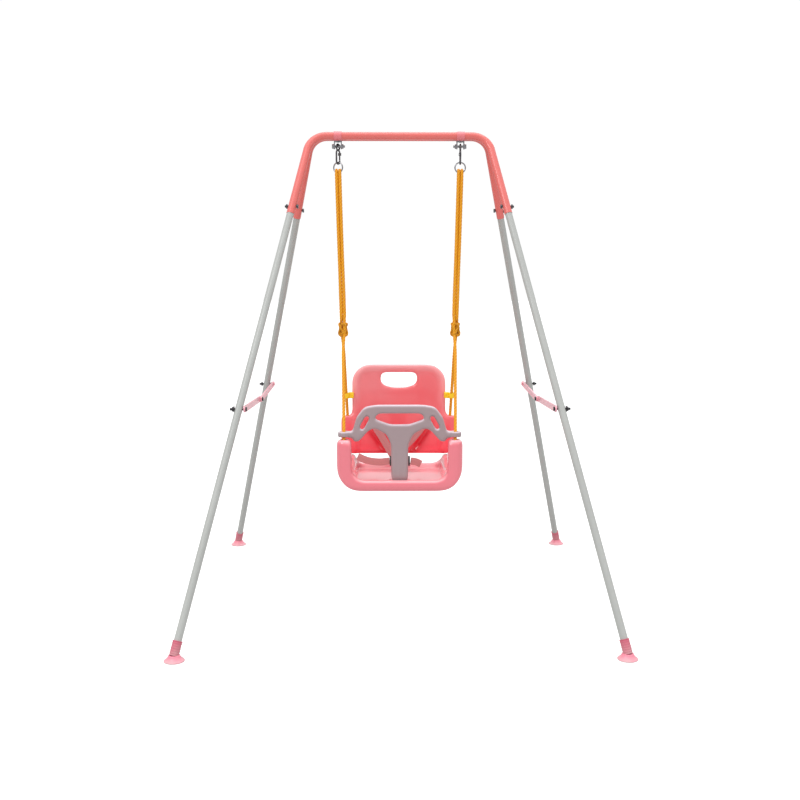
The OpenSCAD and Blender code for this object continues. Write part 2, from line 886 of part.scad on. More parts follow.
tbar_window = [
    [post_x - 116, post_h + 36, 14], [post_x - 76, post_h + 50, 3], [post_x - 86, post_h + 63, 8]
];
arm_slot_r = 5.5;
arm_in = 9;
arm_dip = 22;

module t_bar() {
    y_from = tbar_y - tbar_t / 2;
    y_to = tbar_y + tbar_t / 2;
    low = post_h + 1;
    color("rosybrown")
        at_seat()
            difference() {
                union() {
                    upright(both_halves([
                        [stem_w / 2, rim_h + gap, 2], [stem_w / 2, post_h - 16, 24],
                        [post_x - 106, post_h + 10, 18], [post_x - 76, post_h + 27, 16],
                        [post_x - 61, post_h + 19, 16], [post_x - 36, post_h - 9, 7],
                        [post_x - arm_dip, post_h - 9, 2], [post_x - arm_dip, low, 0],
                        [post_x - arm_in, low, 0], [post_x - arm_in, low + loop_h - 2, 0],
                        [post_x - 21, low + loop_h, 5], [post_x - 31, post_h + 54, 14],
                        [post_x - 51, post_h + 81, 24], [post_x - 84, tbar_top, 90]
                    ]), y_from, y_to);
                    for (side = [LEFT, RIGHT])
                        translate([side * post_x, tbar_y, low])
                            cylinder(h = loop_h, r = loop_r);
                    tongue(0, tongue_len);
                }
                upright(both_halves(tbar_window), y_from - 1, y_to + 1);
                for (side = [LEFT, RIGHT]) {
                    mirror([side < 0 ? 1 : 0, 0, 0])
                        slot([post_x - 58, post_h + 52], [post_x - 45, post_h + 28],
                            arm_slot_r, y_from - 1, y_to + 1);
                    translate([side * post_x, post_y, post_h])
                        rotate([-rope_lean, 0, 0])
                            translate([0, 0, -20])
                                cylinder(h = 80, r = loop_hole_r);
                }
            }
}

// Each clip holds the rear rope to the edge of the backrest.
clip_up = 219;
clip_x = post_x + 1.5;
clip_y = ear_y - 25;
clip_tilt = 24;
clip_half = 8;
clip_wall = 4;
clip_bar_w = 14;

module rope_clips() {
    color("gold")
        at_seat()
            for (side = [LEFT, RIGHT])
                mirror([side < 0 ? 1 : 0, 0, 0])
                    translate([0, clip_y, clip_up])
                        difference() {
                            union() {
                                translate([clip_x, 0, -clip_half])
                                    cylinder(h = 2 * clip_half, r = rope_d / 2 + clip_wall);
                                translate([seat_w / 2 - ear_w - 6, 0, -clip_half])
                                    cube([clip_bar_w, ear_y - back_t / 2 - clip_y, 2 * clip_half]);
                            }
                            translate([clip_x, 0, 0])
                                rotate([clip_tilt, 0, 0])
                                    translate([0, 0, -20])
                                        cylinder(h = 40, r = rope_d / 2 + 0.5);
                        }
}

// ---------------------------------------------------------------- harness

module shoulder_straps() {
    color("rosybrown")
        at_seat() {
            strap(left_shoulder, [0.7, 0, 0.7]);
            strap(right_shoulder, [0.7, 0, -0.7]);
        }
}

module waist_strap() {
    color("rosybrown")
        at_seat()
            strap(waist_route, [0, 0.5, 1]);
}

module strap_tail() {
    color("rosybrown")
        at_seat()
            strap(tail_route, [0, 0.5, 1]);
}

buckle_w = 32;
buckle_h = 26;
buckle_t = 9;
mouth_wall = 2;
mouth_rim = 3;
mouth_depth = 24;
prong_play = 0.5;
prong_h = 6;
prong_gap = 6;
prong_inset = 12;
grip_len = 22;

module at_buckle() {
    at_seat()
        translate(buckle_at)
            rotate([buckle_turn, 0, 0])
                children();
}

module buckle_body() {
    color("black")
        at_buckle()
            difference() {
                translate([0, -buckle_t / 2, -buckle_h / 2])
                    cube([buckle_w, buckle_t, buckle_h]);
                translate([buckle_w - mouth_depth, mouth_wall - buckle_t / 2, mouth_rim - buckle_h / 2])
                    cube([buckle_w, buckle_t - 2 * mouth_wall, buckle_h - 2 * mouth_rim]);
            }
}

module buckle_tongue() {
    prong_t = buckle_t - 2 * (mouth_wall + prong_play);
    color("black")
        at_buckle() {
            for (z = [prong_gap / 2, -prong_gap / 2 - prong_h])
                translate([prong_inset, -prong_t / 2, z])
                    cube([buckle_w + 1 - prong_inset, prong_t, prong_h]);
            translate([buckle_w + prong_play, -buckle_t / 2, -buckle_h / 2])
                cube([grip_len, buckle_t, buckle_h]);
        }
}

// ---------------------------------------------------------------- nodes

top_tube(FRONT);  // front_top_tube
top_tube(REAR);  // rear_top_tube
upper_leg(LEFT, FRONT);  // front_left_upper_leg
upper_leg(RIGHT, FRONT);  // front_right_upper_leg
upper_leg(LEFT, REAR);  // rear_left_upper_leg
upper_leg(RIGHT, REAR);  // rear_right_upper_leg
lower_leg(LEFT, FRONT);  // front_left_lower_leg
lower_leg(RIGHT, FRONT);  // front_right_lower_leg
lower_leg(LEFT, REAR);  // rear_left_lower_leg
lower_leg(RIGHT, REAR);  // rear_right_lower_leg
sleeve(LEFT, FRONT);  // front_left_sleeve
sleeve(RIGHT, FRONT);  // front_right_sleeve
sleeve(LEFT, REAR);  // rear_left_sleeve
sleeve(RIGHT, REAR);  // rear_right_sleeve
cup(LEFT, FRONT);  // front_left_cup
cup(RIGHT, FRONT);  // front_right_cup
cup(LEFT, REAR);  // rear_left_cup
cup(RIGHT, REAR);  // rear_right_cup
joint_bolts(FRONT);  // front_joint_bolts
joint_bolts(REAR);  // rear_joint_bolts
joint_nuts(FRONT);  // front_joint_nuts
joint_nuts(REAR);  // rear_joint_nuts
bar_clamp(LEFT);  // left_bar_clamp
bar_clamp(RIGHT);  // right_bar_clamp
hanger_bracket(LEFT);  // left_hanger_bracket
hanger_bracket(RIGHT);  // right_hanger_bracket
bracket_screws();
hanger_bolts();
hanger_nuts();
brace_front_bolts();
brace_front_nuts();
brace_rear_bolts();
front_brace(LEFT);  // left_front_brace
front_brace(RIGHT);  // right_front_brace
rear_brace(LEFT);  // left_rear_brace
rear_brace(RIGHT);  // right_rear_brace
brace_pin(LEFT);  // left_brace_pin
brace_pin(RIGHT);  // right_brace_pin
snap_hook(LEFT);  // left_snap_hook
snap_hook(RIGHT);  // right_snap_hook
hook_gate(LEFT);  // left_hook_gate
hook_gate(RIGHT);  // right_hook_gate
ring(LEFT);  // left_ring
ring(RIGHT);  // right_ring
rope(LEFT);  // left_rope
rope(RIGHT);  // right_rope
wrap_knot(LEFT);  // left_wrap_knot
wrap_knot(RIGHT);  // right_wrap_knot
rope_end_knots();
seat_base();
backrest();
t_bar();
rope_clips();
shoulder_straps();
waist_strap();
strap_tail();
buckle_body();
buckle_tongue();
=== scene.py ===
"""Looks of a toddler swing set: a folding tube frame with a bucket seat on ropes.

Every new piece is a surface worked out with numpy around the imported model, or a softened copy of
one of its moulded solids, and every piece gets a procedural finish.
"""

import math

import bmesh
import bpy
import numpy as np
from bpy.props import FloatProperty, FloatVectorProperty, IntProperty, PointerProperty
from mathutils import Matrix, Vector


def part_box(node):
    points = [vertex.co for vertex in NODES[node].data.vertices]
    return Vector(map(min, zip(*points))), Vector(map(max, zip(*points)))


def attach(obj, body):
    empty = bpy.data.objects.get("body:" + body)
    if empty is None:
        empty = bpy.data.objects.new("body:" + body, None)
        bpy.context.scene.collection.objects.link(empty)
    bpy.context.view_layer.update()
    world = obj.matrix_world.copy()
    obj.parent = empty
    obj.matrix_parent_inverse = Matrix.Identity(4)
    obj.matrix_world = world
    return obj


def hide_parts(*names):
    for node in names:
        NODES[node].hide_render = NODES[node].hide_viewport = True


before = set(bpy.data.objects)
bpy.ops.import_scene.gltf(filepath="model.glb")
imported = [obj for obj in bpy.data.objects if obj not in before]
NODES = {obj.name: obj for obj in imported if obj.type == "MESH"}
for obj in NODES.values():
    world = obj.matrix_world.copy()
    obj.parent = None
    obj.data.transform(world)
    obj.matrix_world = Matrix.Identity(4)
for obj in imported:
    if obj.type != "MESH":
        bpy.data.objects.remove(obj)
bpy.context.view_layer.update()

bl_info = {
    "name": "Toddler Swing Set",
    "version": (1, 0, 0),
    "blender": (4, 5, 0),
    "location": "View3D > Sidebar > Swing",
    "description": "Builds the soft, moulded and metal surfaces of a folding toddler swing set",
    "category": "Object",
}

# Heights of the ropes are measured from the hanger bolts, those of the belts from the seat's
# underside, and both routes are in millimetres as in the solid model.
BOLT_HEIGHT = 1170.0
SEAT_UNDERSIDE = 303.0
ROPE_ROUTE = [
    (140, -125, -833), (140, -125, -800), (140, -125, -738), (140.3, -121.5, -727),
    (140.8, -114, -712), (143, -66, -610), (145, -22, -515), (143, -9, -480), (142, -7, -455),
    (147, -6, -260), (151.8, -6.5, -68), (151.8, -5.5, -62), (151.8, 0, -59), (151.8, 5.5, -62),
    (151.8, 6.5, -68), (147, 6, -260), (142, 6, -420), (142, 5, -432), (143.5, 2.5, -438.5),
    (146, 0, -441), (148.5, -2.5, -438.5), (150, -5, -432), (150, -6, -420), (155.2, -6, -260),
    (160.2, -6.5, -68), (160.2, -5.5, -62), (160.2, 0, -59), (160.2, 5.5, -62), (160.2, 6.5, -68),
    (155.2, 6, -260), (150.5, 7, -455), (149, 9, -480), (146, 22, -515), (143, 62, -610),
    (140.5, 98.5, -690), (140.1, 103, -701), (140, 104, -712), (140, 104, -780), (140, 104, -833),
]
BELT_ROUTES = {
    "left_shoulder_belt": (
        "shoulder_straps",
        [(-70, 94, 145), (-66, 86, 137), (-43, 74, 101), (-24, 62, 70), (-17, 56, 58)],
        (0.7, 0, 0.7),
    ),
    "right_shoulder_belt": (
        "shoulder_straps",
        [(70, 94, 145), (66, 86, 137), (36, 74, 101), (4, 62, 72), (-8, 56, 60)],
        (0.7, 0, -0.7),
    ),
    "waist_belt": (
        "waist_strap",
        [(-112, 62, 55), (-85, 56, 45), (-53, 50, 42), (-25, 48, 45)],
        (0, 0.5, 1),
    ),
    "belt_tail": ("strap_tail", [(31, 48, 45), (45, 47, 43), (59, 44, 37)], (0, 0.5, 1)),
}
# The cup's outline in millimetres, from the middle of its hollow round its lip to its top.
CUP_OUTLINE = [
    (0, 4.6), (9, 4.2), (16, 2.4), (20.5, 0.7), (22.4, 0.05), (23, 0.5), (22.8, 1.5), (21.2, 3.0),
    (18.6, 5.0), (16.4, 7.2), (14.8, 9.4), (13.8, 11.2), (13.3, 12.4), (12.6, 13.3), (11, 13.8),
    (6, 13.95), (0, 14.0),
]
# A leg's axis in metres, on the right and at the rear: its foot, and a point at the top corner.
LEG_FOOT = (0.505, 0.5, 0.0)
LEG_CORNER = (0.224, 0.011, 1.195)

# Points closer than this, in metres, are one point.
DOUBLED = 1e-6
# Metres between rings along the ropes, rings in one turn of a knot, and points in each ring.
ROPE_STEP = 0.0018
KNOT_STEPS = 130
ROPE_SIDES, KNOT_SIDES, BELT_SIDES, CUP_SIDES, SLEEVE_SIDES = 18, 15, 20, 72, 48
# Metres of rope to one unit of its UV map.
ROPE_UV = 0.004
# The knots in metres, with how often their rope goes round and how many bights it makes.
WRAP_KNOT = dict(radius=0.0092, height=0.0155, weave=0.0017, leads=3, bights=4)
STOPPER_KNOT = dict(radius=0.0042, height=0.0026, weave=0.0022, leads=2, bights=3)
STOPPER_ROPE = 0.006
# The sleeves in metres: mean radius, height of the ribs and how many, swell of the top bead.
SLEEVE_RADIUS, RIB_HEIGHT, RIBS, BEAD = 0.0107, 0.00028, 6, 0.0007
# How far the seat's pan sinks, in metres.
PAN_DEPTH = 0.002
# Linear colour of the dust near the floor.
DUST = (0.55, 0.5, 0.47)

# The camera: focal length and sensor in millimetres, place in metres, angles in radians.
LENS, SENSOR = 46.5, 36
CAMERA_AT = (-0.0273, -2.6939, 0.8480)
CAMERA_DOWN, CAMERA_TURN = 0.1215, 0.0109
# The floor reaches this far each way, this much below the feet, in two greys.
FLOOR_REACH, FLOOR_DROP = 30.0, 0.0004
FLOOR_MAIN, FLOOR_DEEP = (0.56, 0.56, 0.56, 1), (0.54, 0.54, 0.54, 1)
# The room's light at the horizon and high up, and how bright it looks straight on.
SKY_LOW, SKY_HIGH, SKY_SEEN = 0.42, 1.4, 1.02
# The sun: strength, then width, tilt and turn in degrees.
SUN_POWER, SUN_WIDTH, SUN_TILT, SUN_TURN = 0.55, 50, 24, -28
# The lamps: place in metres, width in metres and power in watts, all aimed at one point.
LAMPS = {
    "key": ((-1.9, -2.3, 2.7), 1.2, 24),
    "fill": ((2.6, -1.9, 1.5), 1.6, 7),
    "top": ((0.3, 0.6, 3.2), 2.0, 18),
    "back": ((1.2, 3.0, 2.2), 2.0, 12),
}
LAMPS_AIM = (0, 0, 0.6)


# -------------------- surfaces


def metres(points, lift, side=1.0):
    """Millimetre points raised by lift and mirrored for the left side, in metres."""
    p = np.asarray(points, float)
    return np.stack([p[..., 0] * side, p[..., 1], p[..., 2] + lift], -1) / 1000


def lengths_along(curve):
    """Distance along a curve at each of its points: running total of its steps."""
    return np.concatenate([[0.0], np.cumsum(np.linalg.norm(np.diff(curve, axis=0), axis=1))])


def curve_through(points, step):
    """The smooth curve through points, at equal steps: each stretch blends the two parabolas of
    its neighbours, with knots spaced by the square root of the points' distances."""
    p = np.asarray(points, float)
    p = np.vstack([2 * p[0] - p[1], p, 2 * p[-1] - p[-2]])
    t = np.concatenate([[0.0], np.cumsum(np.sqrt(np.linalg.norm(np.diff(p, axis=0), axis=1)))])
    n = len(p) - 3
    t0, t1, t2, t3 = (t[k : n + k, None, None] for k in range(4))
    p0, p1, p2, p3 = (p[k : n + k, None, :] for k in range(4))
    x = t1 + (t2 - t1) * np.linspace(0, 1, 40, endpoint=False)[None, :, None]
    a1 = ((t1 - x) * p0 + (x - t0) * p1) / (t1 - t0)
    a2 = ((t2 - x) * p1 + (x - t1) * p2) / (t2 - t1)
    a3 = ((t3 - x) * p2 + (x - t2) * p3) / (t3 - t2)
    b1 = ((t2 - x) * a1 + (x - t0) * a2) / (t2 - t0)
    b2 = ((t3 - x) * a2 + (x - t1) * a3) / (t3 - t1)
    fine = np.vstack([(((t2 - x) * b1 + (x - t1) * b2) / (t2 - t1)).reshape(-1, p.shape[1]), p[-2]])
    s = lengths_along(fine)
    at = np.linspace(0, s[-1], max(3, round(s[-1] / step) + 1))
    return np.stack([np.interp(at, s, fine[:, k]) for k in range(p.shape[1])], 1)


def carried(path, section, across, closed=False):
    """A section carried along a path: each path point plus the section's two coordinates times
    the two directions across the path, the first of them as near to across as can be."""
    if closed:
        t = np.roll(path, -1, 0) - np.roll(path, 1, 0)
    else:
        t = np.gradient(path, axis=0)
    t /= np.linalg.norm(t, axis=1, keepdims=True)
    u = across - (across * t).sum(1, keepdims=True) * t
    u /= np.linalg.norm(u, axis=1, keepdims=True)
    v = np.cross(t, u)
    return path[:, None, :] + section[..., :1] * u[:, None, :] + section[..., 1:] * v[:, None, :]


def equal_angles(count, turns=1):
    """Equal angles over whole turns, the last one a step short of the end."""
    return np.linspace(0, 2 * math.pi * turns, count, endpoint=False)


def ring_section(radius, around, turn=0.0):
    """Circle of points: radius times the cosine and sine of equal angles, turned."""
    angle = equal_angles(around)[None, :] + np.atleast_1d(turn)[:, None]
    r = np.broadcast_to(radius, angle.shape)[..., None]
    return r * np.stack([np.cos(angle), np.sin(angle)], -1)


def lattice(rows, columns, closed_rows, closed_columns):
    """Four-cornered faces over a grid of points, and the grid steps at each face's corners."""
    down, over = rows - (not closed_rows), columns - (not closed_columns)
    i, j = np.meshgrid(np.arange(down), np.arange(over), indexing="ij")
    i, j = i.ravel(), j.ravel()
    corners = ((0, 0), (1, 0), (1, 1), (0, 1))
    faces = np.stack([((i + a) % rows) * columns + (j + b) % columns for a, b in corners], 1)
    steps = np.stack([np.stack([i + a, j + b], -1) for a, b in corners], 1)
    return faces, steps


def turned_out(points, faces):
    """True when the faces point outwards: the sum of the signed cones to the origin is positive."""
    a, b, c, d = (points[faces[:, k]] for k in range(4))
    return (a * (np.cross(b, c) + np.cross(c, d))).sum() > 0


def surface(name, grid, closed_rows=False, closed_columns=True, uv_scale=(1.0, 1.0)):
    """An object from a grid of points, its doubled points merged, with a UV map of grid steps."""
    rows, columns = grid.shape[:2]
    points = grid.reshape(-1, 3)
    faces, steps = lattice(rows, columns, closed_rows, closed_columns)
    if not turned_out(points, faces):
        faces, steps = faces[:, ::-1], steps[:, ::-1]
    mesh = bpy.data.meshes.new(name)
    mesh.from_pydata(points.tolist(), [], faces.tolist())
    layer = mesh.uv_layers.new(name="UVMap")
    layer.data.foreach_set("uv", (steps * np.array(uv_scale)).astype(np.float32).ravel())
    return joined_up(name, mesh)


def smooth_object(name, mesh):
    """The mesh, shaded smooth, as an object at the origin."""
    mesh.polygons.foreach_set("use_smooth", np.ones(len(mesh.polygons), bool))
    mesh.update()
    made = bpy.data.objects.new(name, mesh)
    bpy.context.scene.collection.objects.link(made)
    return made


def joined_up(name, mesh):
    """The mesh with the points that are doubled merged, as an object."""
    work = bmesh.new()
    work.from_mesh(mesh)
    bmesh.ops.remove_doubles(work, verts=work.verts, dist=DOUBLED)
    work.to_mesh(mesh)
    work.free()
    return smooth_object(name, mesh)


def points_of(mesh, key):
    """The places or the normals of the mesh's points as rows of three."""
    values = np.empty(len(mesh.vertices) * 3)
    mesh.vertices.foreach_get(key, values)
    return values.reshape(-1, 3)


def put_points(mesh, co):
    """Moves the mesh's points to new places."""
    mesh.vertices.foreach_set("co", co.ravel())
    mesh.update()


def relaxed(co, edges, rounds):
    """Points drawn towards the mean of their neighbours: each round goes half of the way."""
    count = len(co)
    a, b = edges.T
    degree = np.maximum(np.bincount(edges.ravel(), minlength=count), 1)[:, None]
    for _ in range(rounds):
        total = [
            np.bincount(a, co[b, k], count) + np.bincount(b, co[a, k], count) for k in range(3)
        ]
        co = co + 0.5 * (np.stack(total, 1) / degree - co)
    return co


def softened(node, name, cell, rounds, shape=None, tones=None):
    """A moulded copy of a solid: its surface is covered anew with cells of one size and drawn
    smooth, so that its edges turn round, and shape then moves the points by a formula. Each of
    tones is a formula of places and normals whose value the points carry to the finish."""
    source = joined_up(name + "_blank", NODES[node].data.copy())
    cover = source.modifiers.new("cells", "REMESH")
    cover.mode = "VOXEL"
    cover.voxel_size = cell
    graph = bpy.context.evaluated_depsgraph_get()
    mesh = bpy.data.meshes.new_from_object(source.evaluated_get(graph))
    blank = source.data
    bpy.data.objects.remove(source)
    bpy.data.meshes.remove(blank)
    mesh.name = name
    edges = np.empty(len(mesh.edges) * 2, np.int32)
    mesh.edges.foreach_get("vertices", edges)
    co = relaxed(points_of(mesh, "co"), edges.reshape(-1, 2), rounds)
    put_points(mesh, co)
    if shape is not None:
        co = shape(co, points_of(mesh, "normal"))
        put_points(mesh, co)
    for key, tone in (tones or {}).items():
        value = np.clip(tone(co, points_of(mesh, "normal")), 0, 1)
        carried_value = mesh.attributes.new(key, "FLOAT", "POINT")
        carried_value.data.foreach_set("value", value.astype(np.float32))
    mesh.materials.clear()
    return smooth_object(name, mesh)


def from_line(x, z, start, end):
    """Distance of points from a stretch of line in the upright plane."""
    a, b = np.array(start), np.array(end)
    p = np.stack([x, z], -1) - a
    t = np.clip((p @ (b - a)) / ((b - a) @ (b - a)), 0, 1)
    return np.linalg.norm(p - t[:, None] * (b - a), axis=1)


def bell(distance, width):
    """One at no distance, falling to nothing as a bell curve of that width."""
    return np.exp(-((distance / width) ** 2))


def rise(value, low, high):
    """Smooth step from nought at low to one at high."""
    t = np.clip((value - low) / (high - low), 0, 1)
    return t * t * (3 - 2 * t)


def painted_upward_highlight(share, low, high):
    """""A painted highlight on faces that look up: a share of a smooth step of the normal's
    height.""
    """
    return lambda co, normal: share * rise(normal[:, 2], low, high)


def place(piece, body, slot, *stands_for, look=None):
    """""Gives a piece its body and its finish, which is the slot's unless another is named, and
    hides the solids that it stands for."" """
    piece.data.materials.clear()
    piece.data.materials.append(finishes()[look or slot])
    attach(piece, body)
    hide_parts(*stands_for)
    return piece


# -------------------- shared effects


def new_group(name, takes, gives):
    """An empty node group from its sockets' names, with the sockets of what it takes and a
    function that links what it gives."""
    tree = bpy.data.node_groups.new(name, "ShaderNodeTree")
    kinds = {"Vector": "Vector", "Main": "Color", "Deep": "Color", "Color": "Color"}
    for way, labels in (("INPUT", takes), ("OUTPUT", gives)):
        for label in labels.split():
            kind = "NodeSocket" + kinds.get(label, "Float")
            tree.interface.new_socket(label, in_out=way, socket_type=kind)
    end = tree.nodes.new("NodeGroupOutput")

    def give(label, value):
        tree.links.new(value, end.inputs[label])

    return tree, tree.nodes.new("NodeGroupInput").outputs, give


def node(tree, kind, links=(), **settings):
    """A node with its settings, and its inputs linked or set by name or number."""
    made = tree.nodes.new(kind)
    for key, value in settings.items():
        setattr(made, key, value)
    for key, value in dict(links).items():
        if isinstance(value, bpy.types.NodeSocket):
            tree.links.new(value, made.inputs[key])
        else:
            made.inputs[key].default_value = value
    return made


def math_node(tree, operation, first, second=0.0, third=0.0):
    """The output of one sum."""
    values = {0: first, 1: second, 2: third}
    return node(tree, "ShaderNodeMath", values, operation=operation).outputs[0]


def size_of(tree, operation, value):
    """The size, without its sign, of the sine or cosine of a value."""
    return math_node(tree, "ABSOLUTE", math_node(tree, operation, value))


def noise(tree, vector, scale, detail=3.0, rough=0.55):
    """The factor of a noise."""
    values = {"Vector": vector, "Scale": scale, "Detail": detail, "Roughness": rough}
    return node(tree, "ShaderNodeTexNoise", values).outputs["Fac"]


def ranged(tree, value, low, high, to=(0.0, 1.0), kind="LINEAR"):
    """A value from low to high, spread over another range and cut off at its ends."""
    values = {"Value": value, "From Min": low, "From Max": high, "To Min": to[0], "To Max": to[1]}
    made = node(tree, "ShaderNodeMapRange", values, clamp=True, interpolation_type=kind)
    return made.outputs["Result"]


def mixed(tree, share, first, second):
    """The output of a mix of two colours, each a socket or three numbers."""
    first, second = ((*c, 1) if isinstance(c, tuple) else c for c in (first, second))
    return node(tree, "ShaderNodeMix", {0: share, 6: first, 7: second}, data_type="RGBA").outputs[2]


def stretched(tree, vector, factors):
    """A vector times three factors."""
    values = {0: vector, 1: factors}
    return node(tree, "ShaderNodeVectorMath", values, operation="MULTIPLY").outputs[0]


def apart(tree, vector):
    """The three coordinates of a vector."""
    return node(tree, "ShaderNodeSeparateXYZ", {0: vector}).outputs


def group_orange_peel():
    """Sprayed or moulded skin: the height of broad waves plus fine pits."""
    tree, takes, give = new_group("Orange peel", "Vector Scale Pits", "Height")
    waves = noise(tree, takes["Vector"], takes["Scale"], 2.0)
    pits = noise(tree, takes["Vector"], math_node(tree, "MULTIPLY", takes["Scale"], 6.0), 3.0)
    give("Height", math_node(tree, "MULTIPLY_ADD", pits, takes["Pits"], waves))
    return tree


def group_colour_drift():
    """Colour that wanders between two tones over broad clouds, with a finer speckle inside them."""
    tree, takes, give = new_group(
        "Colour drift", "Vector Main Deep Scale Amount", "Color Mask"
    )
    cloud = noise(tree, takes["Vector"], takes["Scale"], 4.0, 0.6)
    speck = noise(tree, takes["Vector"], math_node(tree, "MULTIPLY", takes["Scale"], 23.0), 2.0)
    mask = ranged(tree, math_node(tree, "MULTIPLY_ADD", speck, 0.35, cloud), 0.42, 0.95)
    share = math_node(tree, "MULTIPLY", mask, takes["Amount"])
    give("Color", mixed(tree, share, takes["Main"], takes["Deep"]))
    give("Mask", mask)
    return tree


def group_scuffs():
    """Fine rubbed marks: thin lines of a stretched noise, broken up by a broad one."""
    tree, takes, give = new_group("Scuffs", "Vector Scale Amount", "Mask")
    long_way = stretched(tree, takes["Vector"], (1.0, 1.0, 0.12))
    lines = ranged(tree, noise(tree, long_way, takes["Scale"], 5.0, 0.7), 0.6, 0.74)
    patches = ranged(tree, noise(tree, takes["Vector"], 9.0, 2.0), 0.48, 0.62)
    both = math_node(tree, "MULTIPLY", lines, patches)
    give("Mask", math_node(tree, "MULTIPLY", both, takes["Amount"]))
    return tree


def group_weave():
    """Webbing: two slanting sets of threads, each a rounded wave of the UV map, the higher of
    the two showing, and a mask of it broken by fuzz."""
    tree, takes, give = new_group("Weave", "Vector Along Across", "Height Mask")
    uv = apart(tree, takes["Vector"])
    u = math_node(tree, "MULTIPLY", uv["X"], takes["Along"])
    v = math_node(tree, "MULTIPLY", uv["Y"], takes["Across"])
    threads = (size_of(tree, "SINE", math_node(tree, way, u, v)) for way in ("ADD", "SUBTRACT"))
    height = math_node(tree, "MAXIMUM", *threads)
    give("Height", height)
    fuzz = noise(tree, takes["Vector"], 7.0, 4.0)
    give("Mask", math_node(tree, "MULTIPLY", height, fuzz))
    return tree


def group_strands():
    """Twisted rope: the UV map's second value runs round the rope with its strands, so three
    hollows lie at fixed values of it, and fibres run along the first value."""
    tree, takes, give = new_group("Strands", "Vector Fibres", "Height Hollow Fibre")
    uv = apart(tree, takes["Vector"])
    crown = size_of(tree, "COSINE", math_node(tree, "MULTIPLY", uv["Y"], 3 * math.pi))
    give("Hollow", math_node(tree, "POWER", math_node(tree, "SUBTRACT", 1.0, crown), 2.2))
    braid = math_node(tree, "MULTIPLY", uv["X"], takes["Fibres"])
    thread = size_of(tree, "SINE", math_node(tree, "MULTIPLY_ADD", uv["Y"], 54.0, braid))
    fuzz = noise(tree, stretched(tree, takes["Vector"], (3.0, 60.0, 1.0)), 1.0, 3.0)
    fibre = math_node(tree, "MULTIPLY", thread, fuzz)
    give("Height", math_node(tree, "MULTIPLY_ADD", fibre, 0.6, crown))
    give("Fibre", fibre)
    return tree


def group_floor_dust():
    """Dust from the floor: strongest at height nought and gone at the top height, broken by
    noise."""
    tree, takes, give = new_group("Floor dust", "Vector Top", "Mask")
    fall = ranged(tree, apart(tree, takes["Vector"])["Z"], takes["Top"], 0.0)
    patch = noise(tree, takes["Vector"], 60.0, 4.0)
    give("Mask", math_node(tree, "MULTIPLY", fall, patch))
    return tree


def effects():
    """The shared groups by name, built once."""
    makers = {
        "Orange peel": group_orange_peel,
        "Colour drift": group_colour_drift,
        "Scuffs": group_scuffs,
        "Weave": group_weave,
        "Strands": group_strands,
        "Floor dust": group_floor_dust,
    }
    return {k: bpy.data.node_groups.get(k) or make() for k, make in makers.items()}


# -------------------- finishes


def linear(red, green, blue):
    """A screen colour from 0 to 255 as linear light."""
    c = np.array([red, green, blue]) / 255
    return tuple(float(x) for x in np.where(c <= 0.04045, c / 12.92, ((c + 0.055) / 1.055) ** 2.4))


def blank_finish(
    name, roughness, metallic=0.0, coat=0.0, coat_roughness=0.1, specular=0.5, sheen=0.0
):
    """A material with its shader's even values set, its node tree, the shader and the
    coordinates of the piece."""
    finish = bpy.data.materials.new(name)
    finish.use_nodes = True
    tree = finish.node_tree
    shader = tree.nodes["Principled BSDF"]
    values = {
        "Roughness": roughness, "Metallic": metallic, "Coat Weight": coat,
        "Coat Roughness": coat_roughness, "Specular IOR Level": specular, "Sheen Weight": sheen,
    }
    for key, value in values.items():
        shader.inputs[key].default_value = value
    return finish, tree, shader, tree.nodes.new("ShaderNodeTexCoord").outputs


def effect(tree, name, vector, **values):
    """The outputs of one of the shared groups, placed with its own values."""
    links = {"Vector": vector, **values}
    return node(tree, "ShaderNodeGroup", links, node_tree=effects()[name]).outputs


def laid_over(finish, share, colour):
    """Mixes a colour over a finish by a share."""
    tree = finish.node_tree
    base = tree.nodes["Principled BSDF"].inputs["Base Color"]
    tree.links.new(mixed(tree, share, base.links[0].from_socket, colour), base)


def toned(finish, key, colour):
    """Mixes a colour over a finish by a value that the piece's points carry."""
    share = node(finish.node_tree, "ShaderNodeAttribute", attribute_name=key).outputs["Fac"]
    laid_over(finish, share, colour)


def shaded_downwards(finish, colour, low, high):
    """""Mixes a painted shade colour over a finish, growing downwards between two heights."" """
    tree = finish.node_tree
    height = apart(tree, tree.nodes.new("ShaderNodeTexCoord").outputs["Object"])["Z"]
    laid_over(finish, ranged(tree, height, high, low, kind="SMOOTHSTEP"), colour)


def roughened(tree, shader, mask, rough, height, depth, relief):
    """Roughness that follows a mask, and a bump of a height."""
    tree.links.new(ranged(tree, mask, 0.0, 1.0, rough), shader.inputs["Roughness"])
    values = {"Strength": depth, "Distance": relief, "Height": height}
    tree.links.new(node(tree, "ShaderNodeBump", values).outputs["Normal"], shader.inputs["Normal"])


def skin(
    name, main, deep, drift, amount, rough, peel, pits, depth,
    scuffs=0.0, scuff_scale=90.0, scuff_colour=(0.8, 0.8, 0.8), dust=0.0, **shader_values
):
    """A painted, plated, rubber or moulded skin: drifting colour, scuffs and floor dust mixed over
    it, roughness that follows the same clouds, and an orange-peel bump."""
    finish, tree, shader, where = blank_finish(name, rough[0], **shader_values)
    at = where["Object"]
    drifting = effect(
        tree, "Colour drift", at, Main=(*main, 1), Deep=(*deep, 1), Scale=drift, Amount=amount
    )
    tree.links.new(drifting["Color"], shader.inputs["Base Color"])
    if scuffs:
        marks = effect(tree, "Scuffs", at, Scale=scuff_scale, Amount=scuffs)
        laid_over(finish, marks["Mask"], scuff_colour)
    if dust:
        laid_over(finish, effect(tree, "Floor dust", at, Top=dust)["Mask"], DUST)
    bumps = effect(tree, "Orange peel", at, Scale=peel, Pits=pits)
    roughened(tree, shader, drifting["Mask"], rough, bumps["Height"], depth, 0.0004)
    return finish


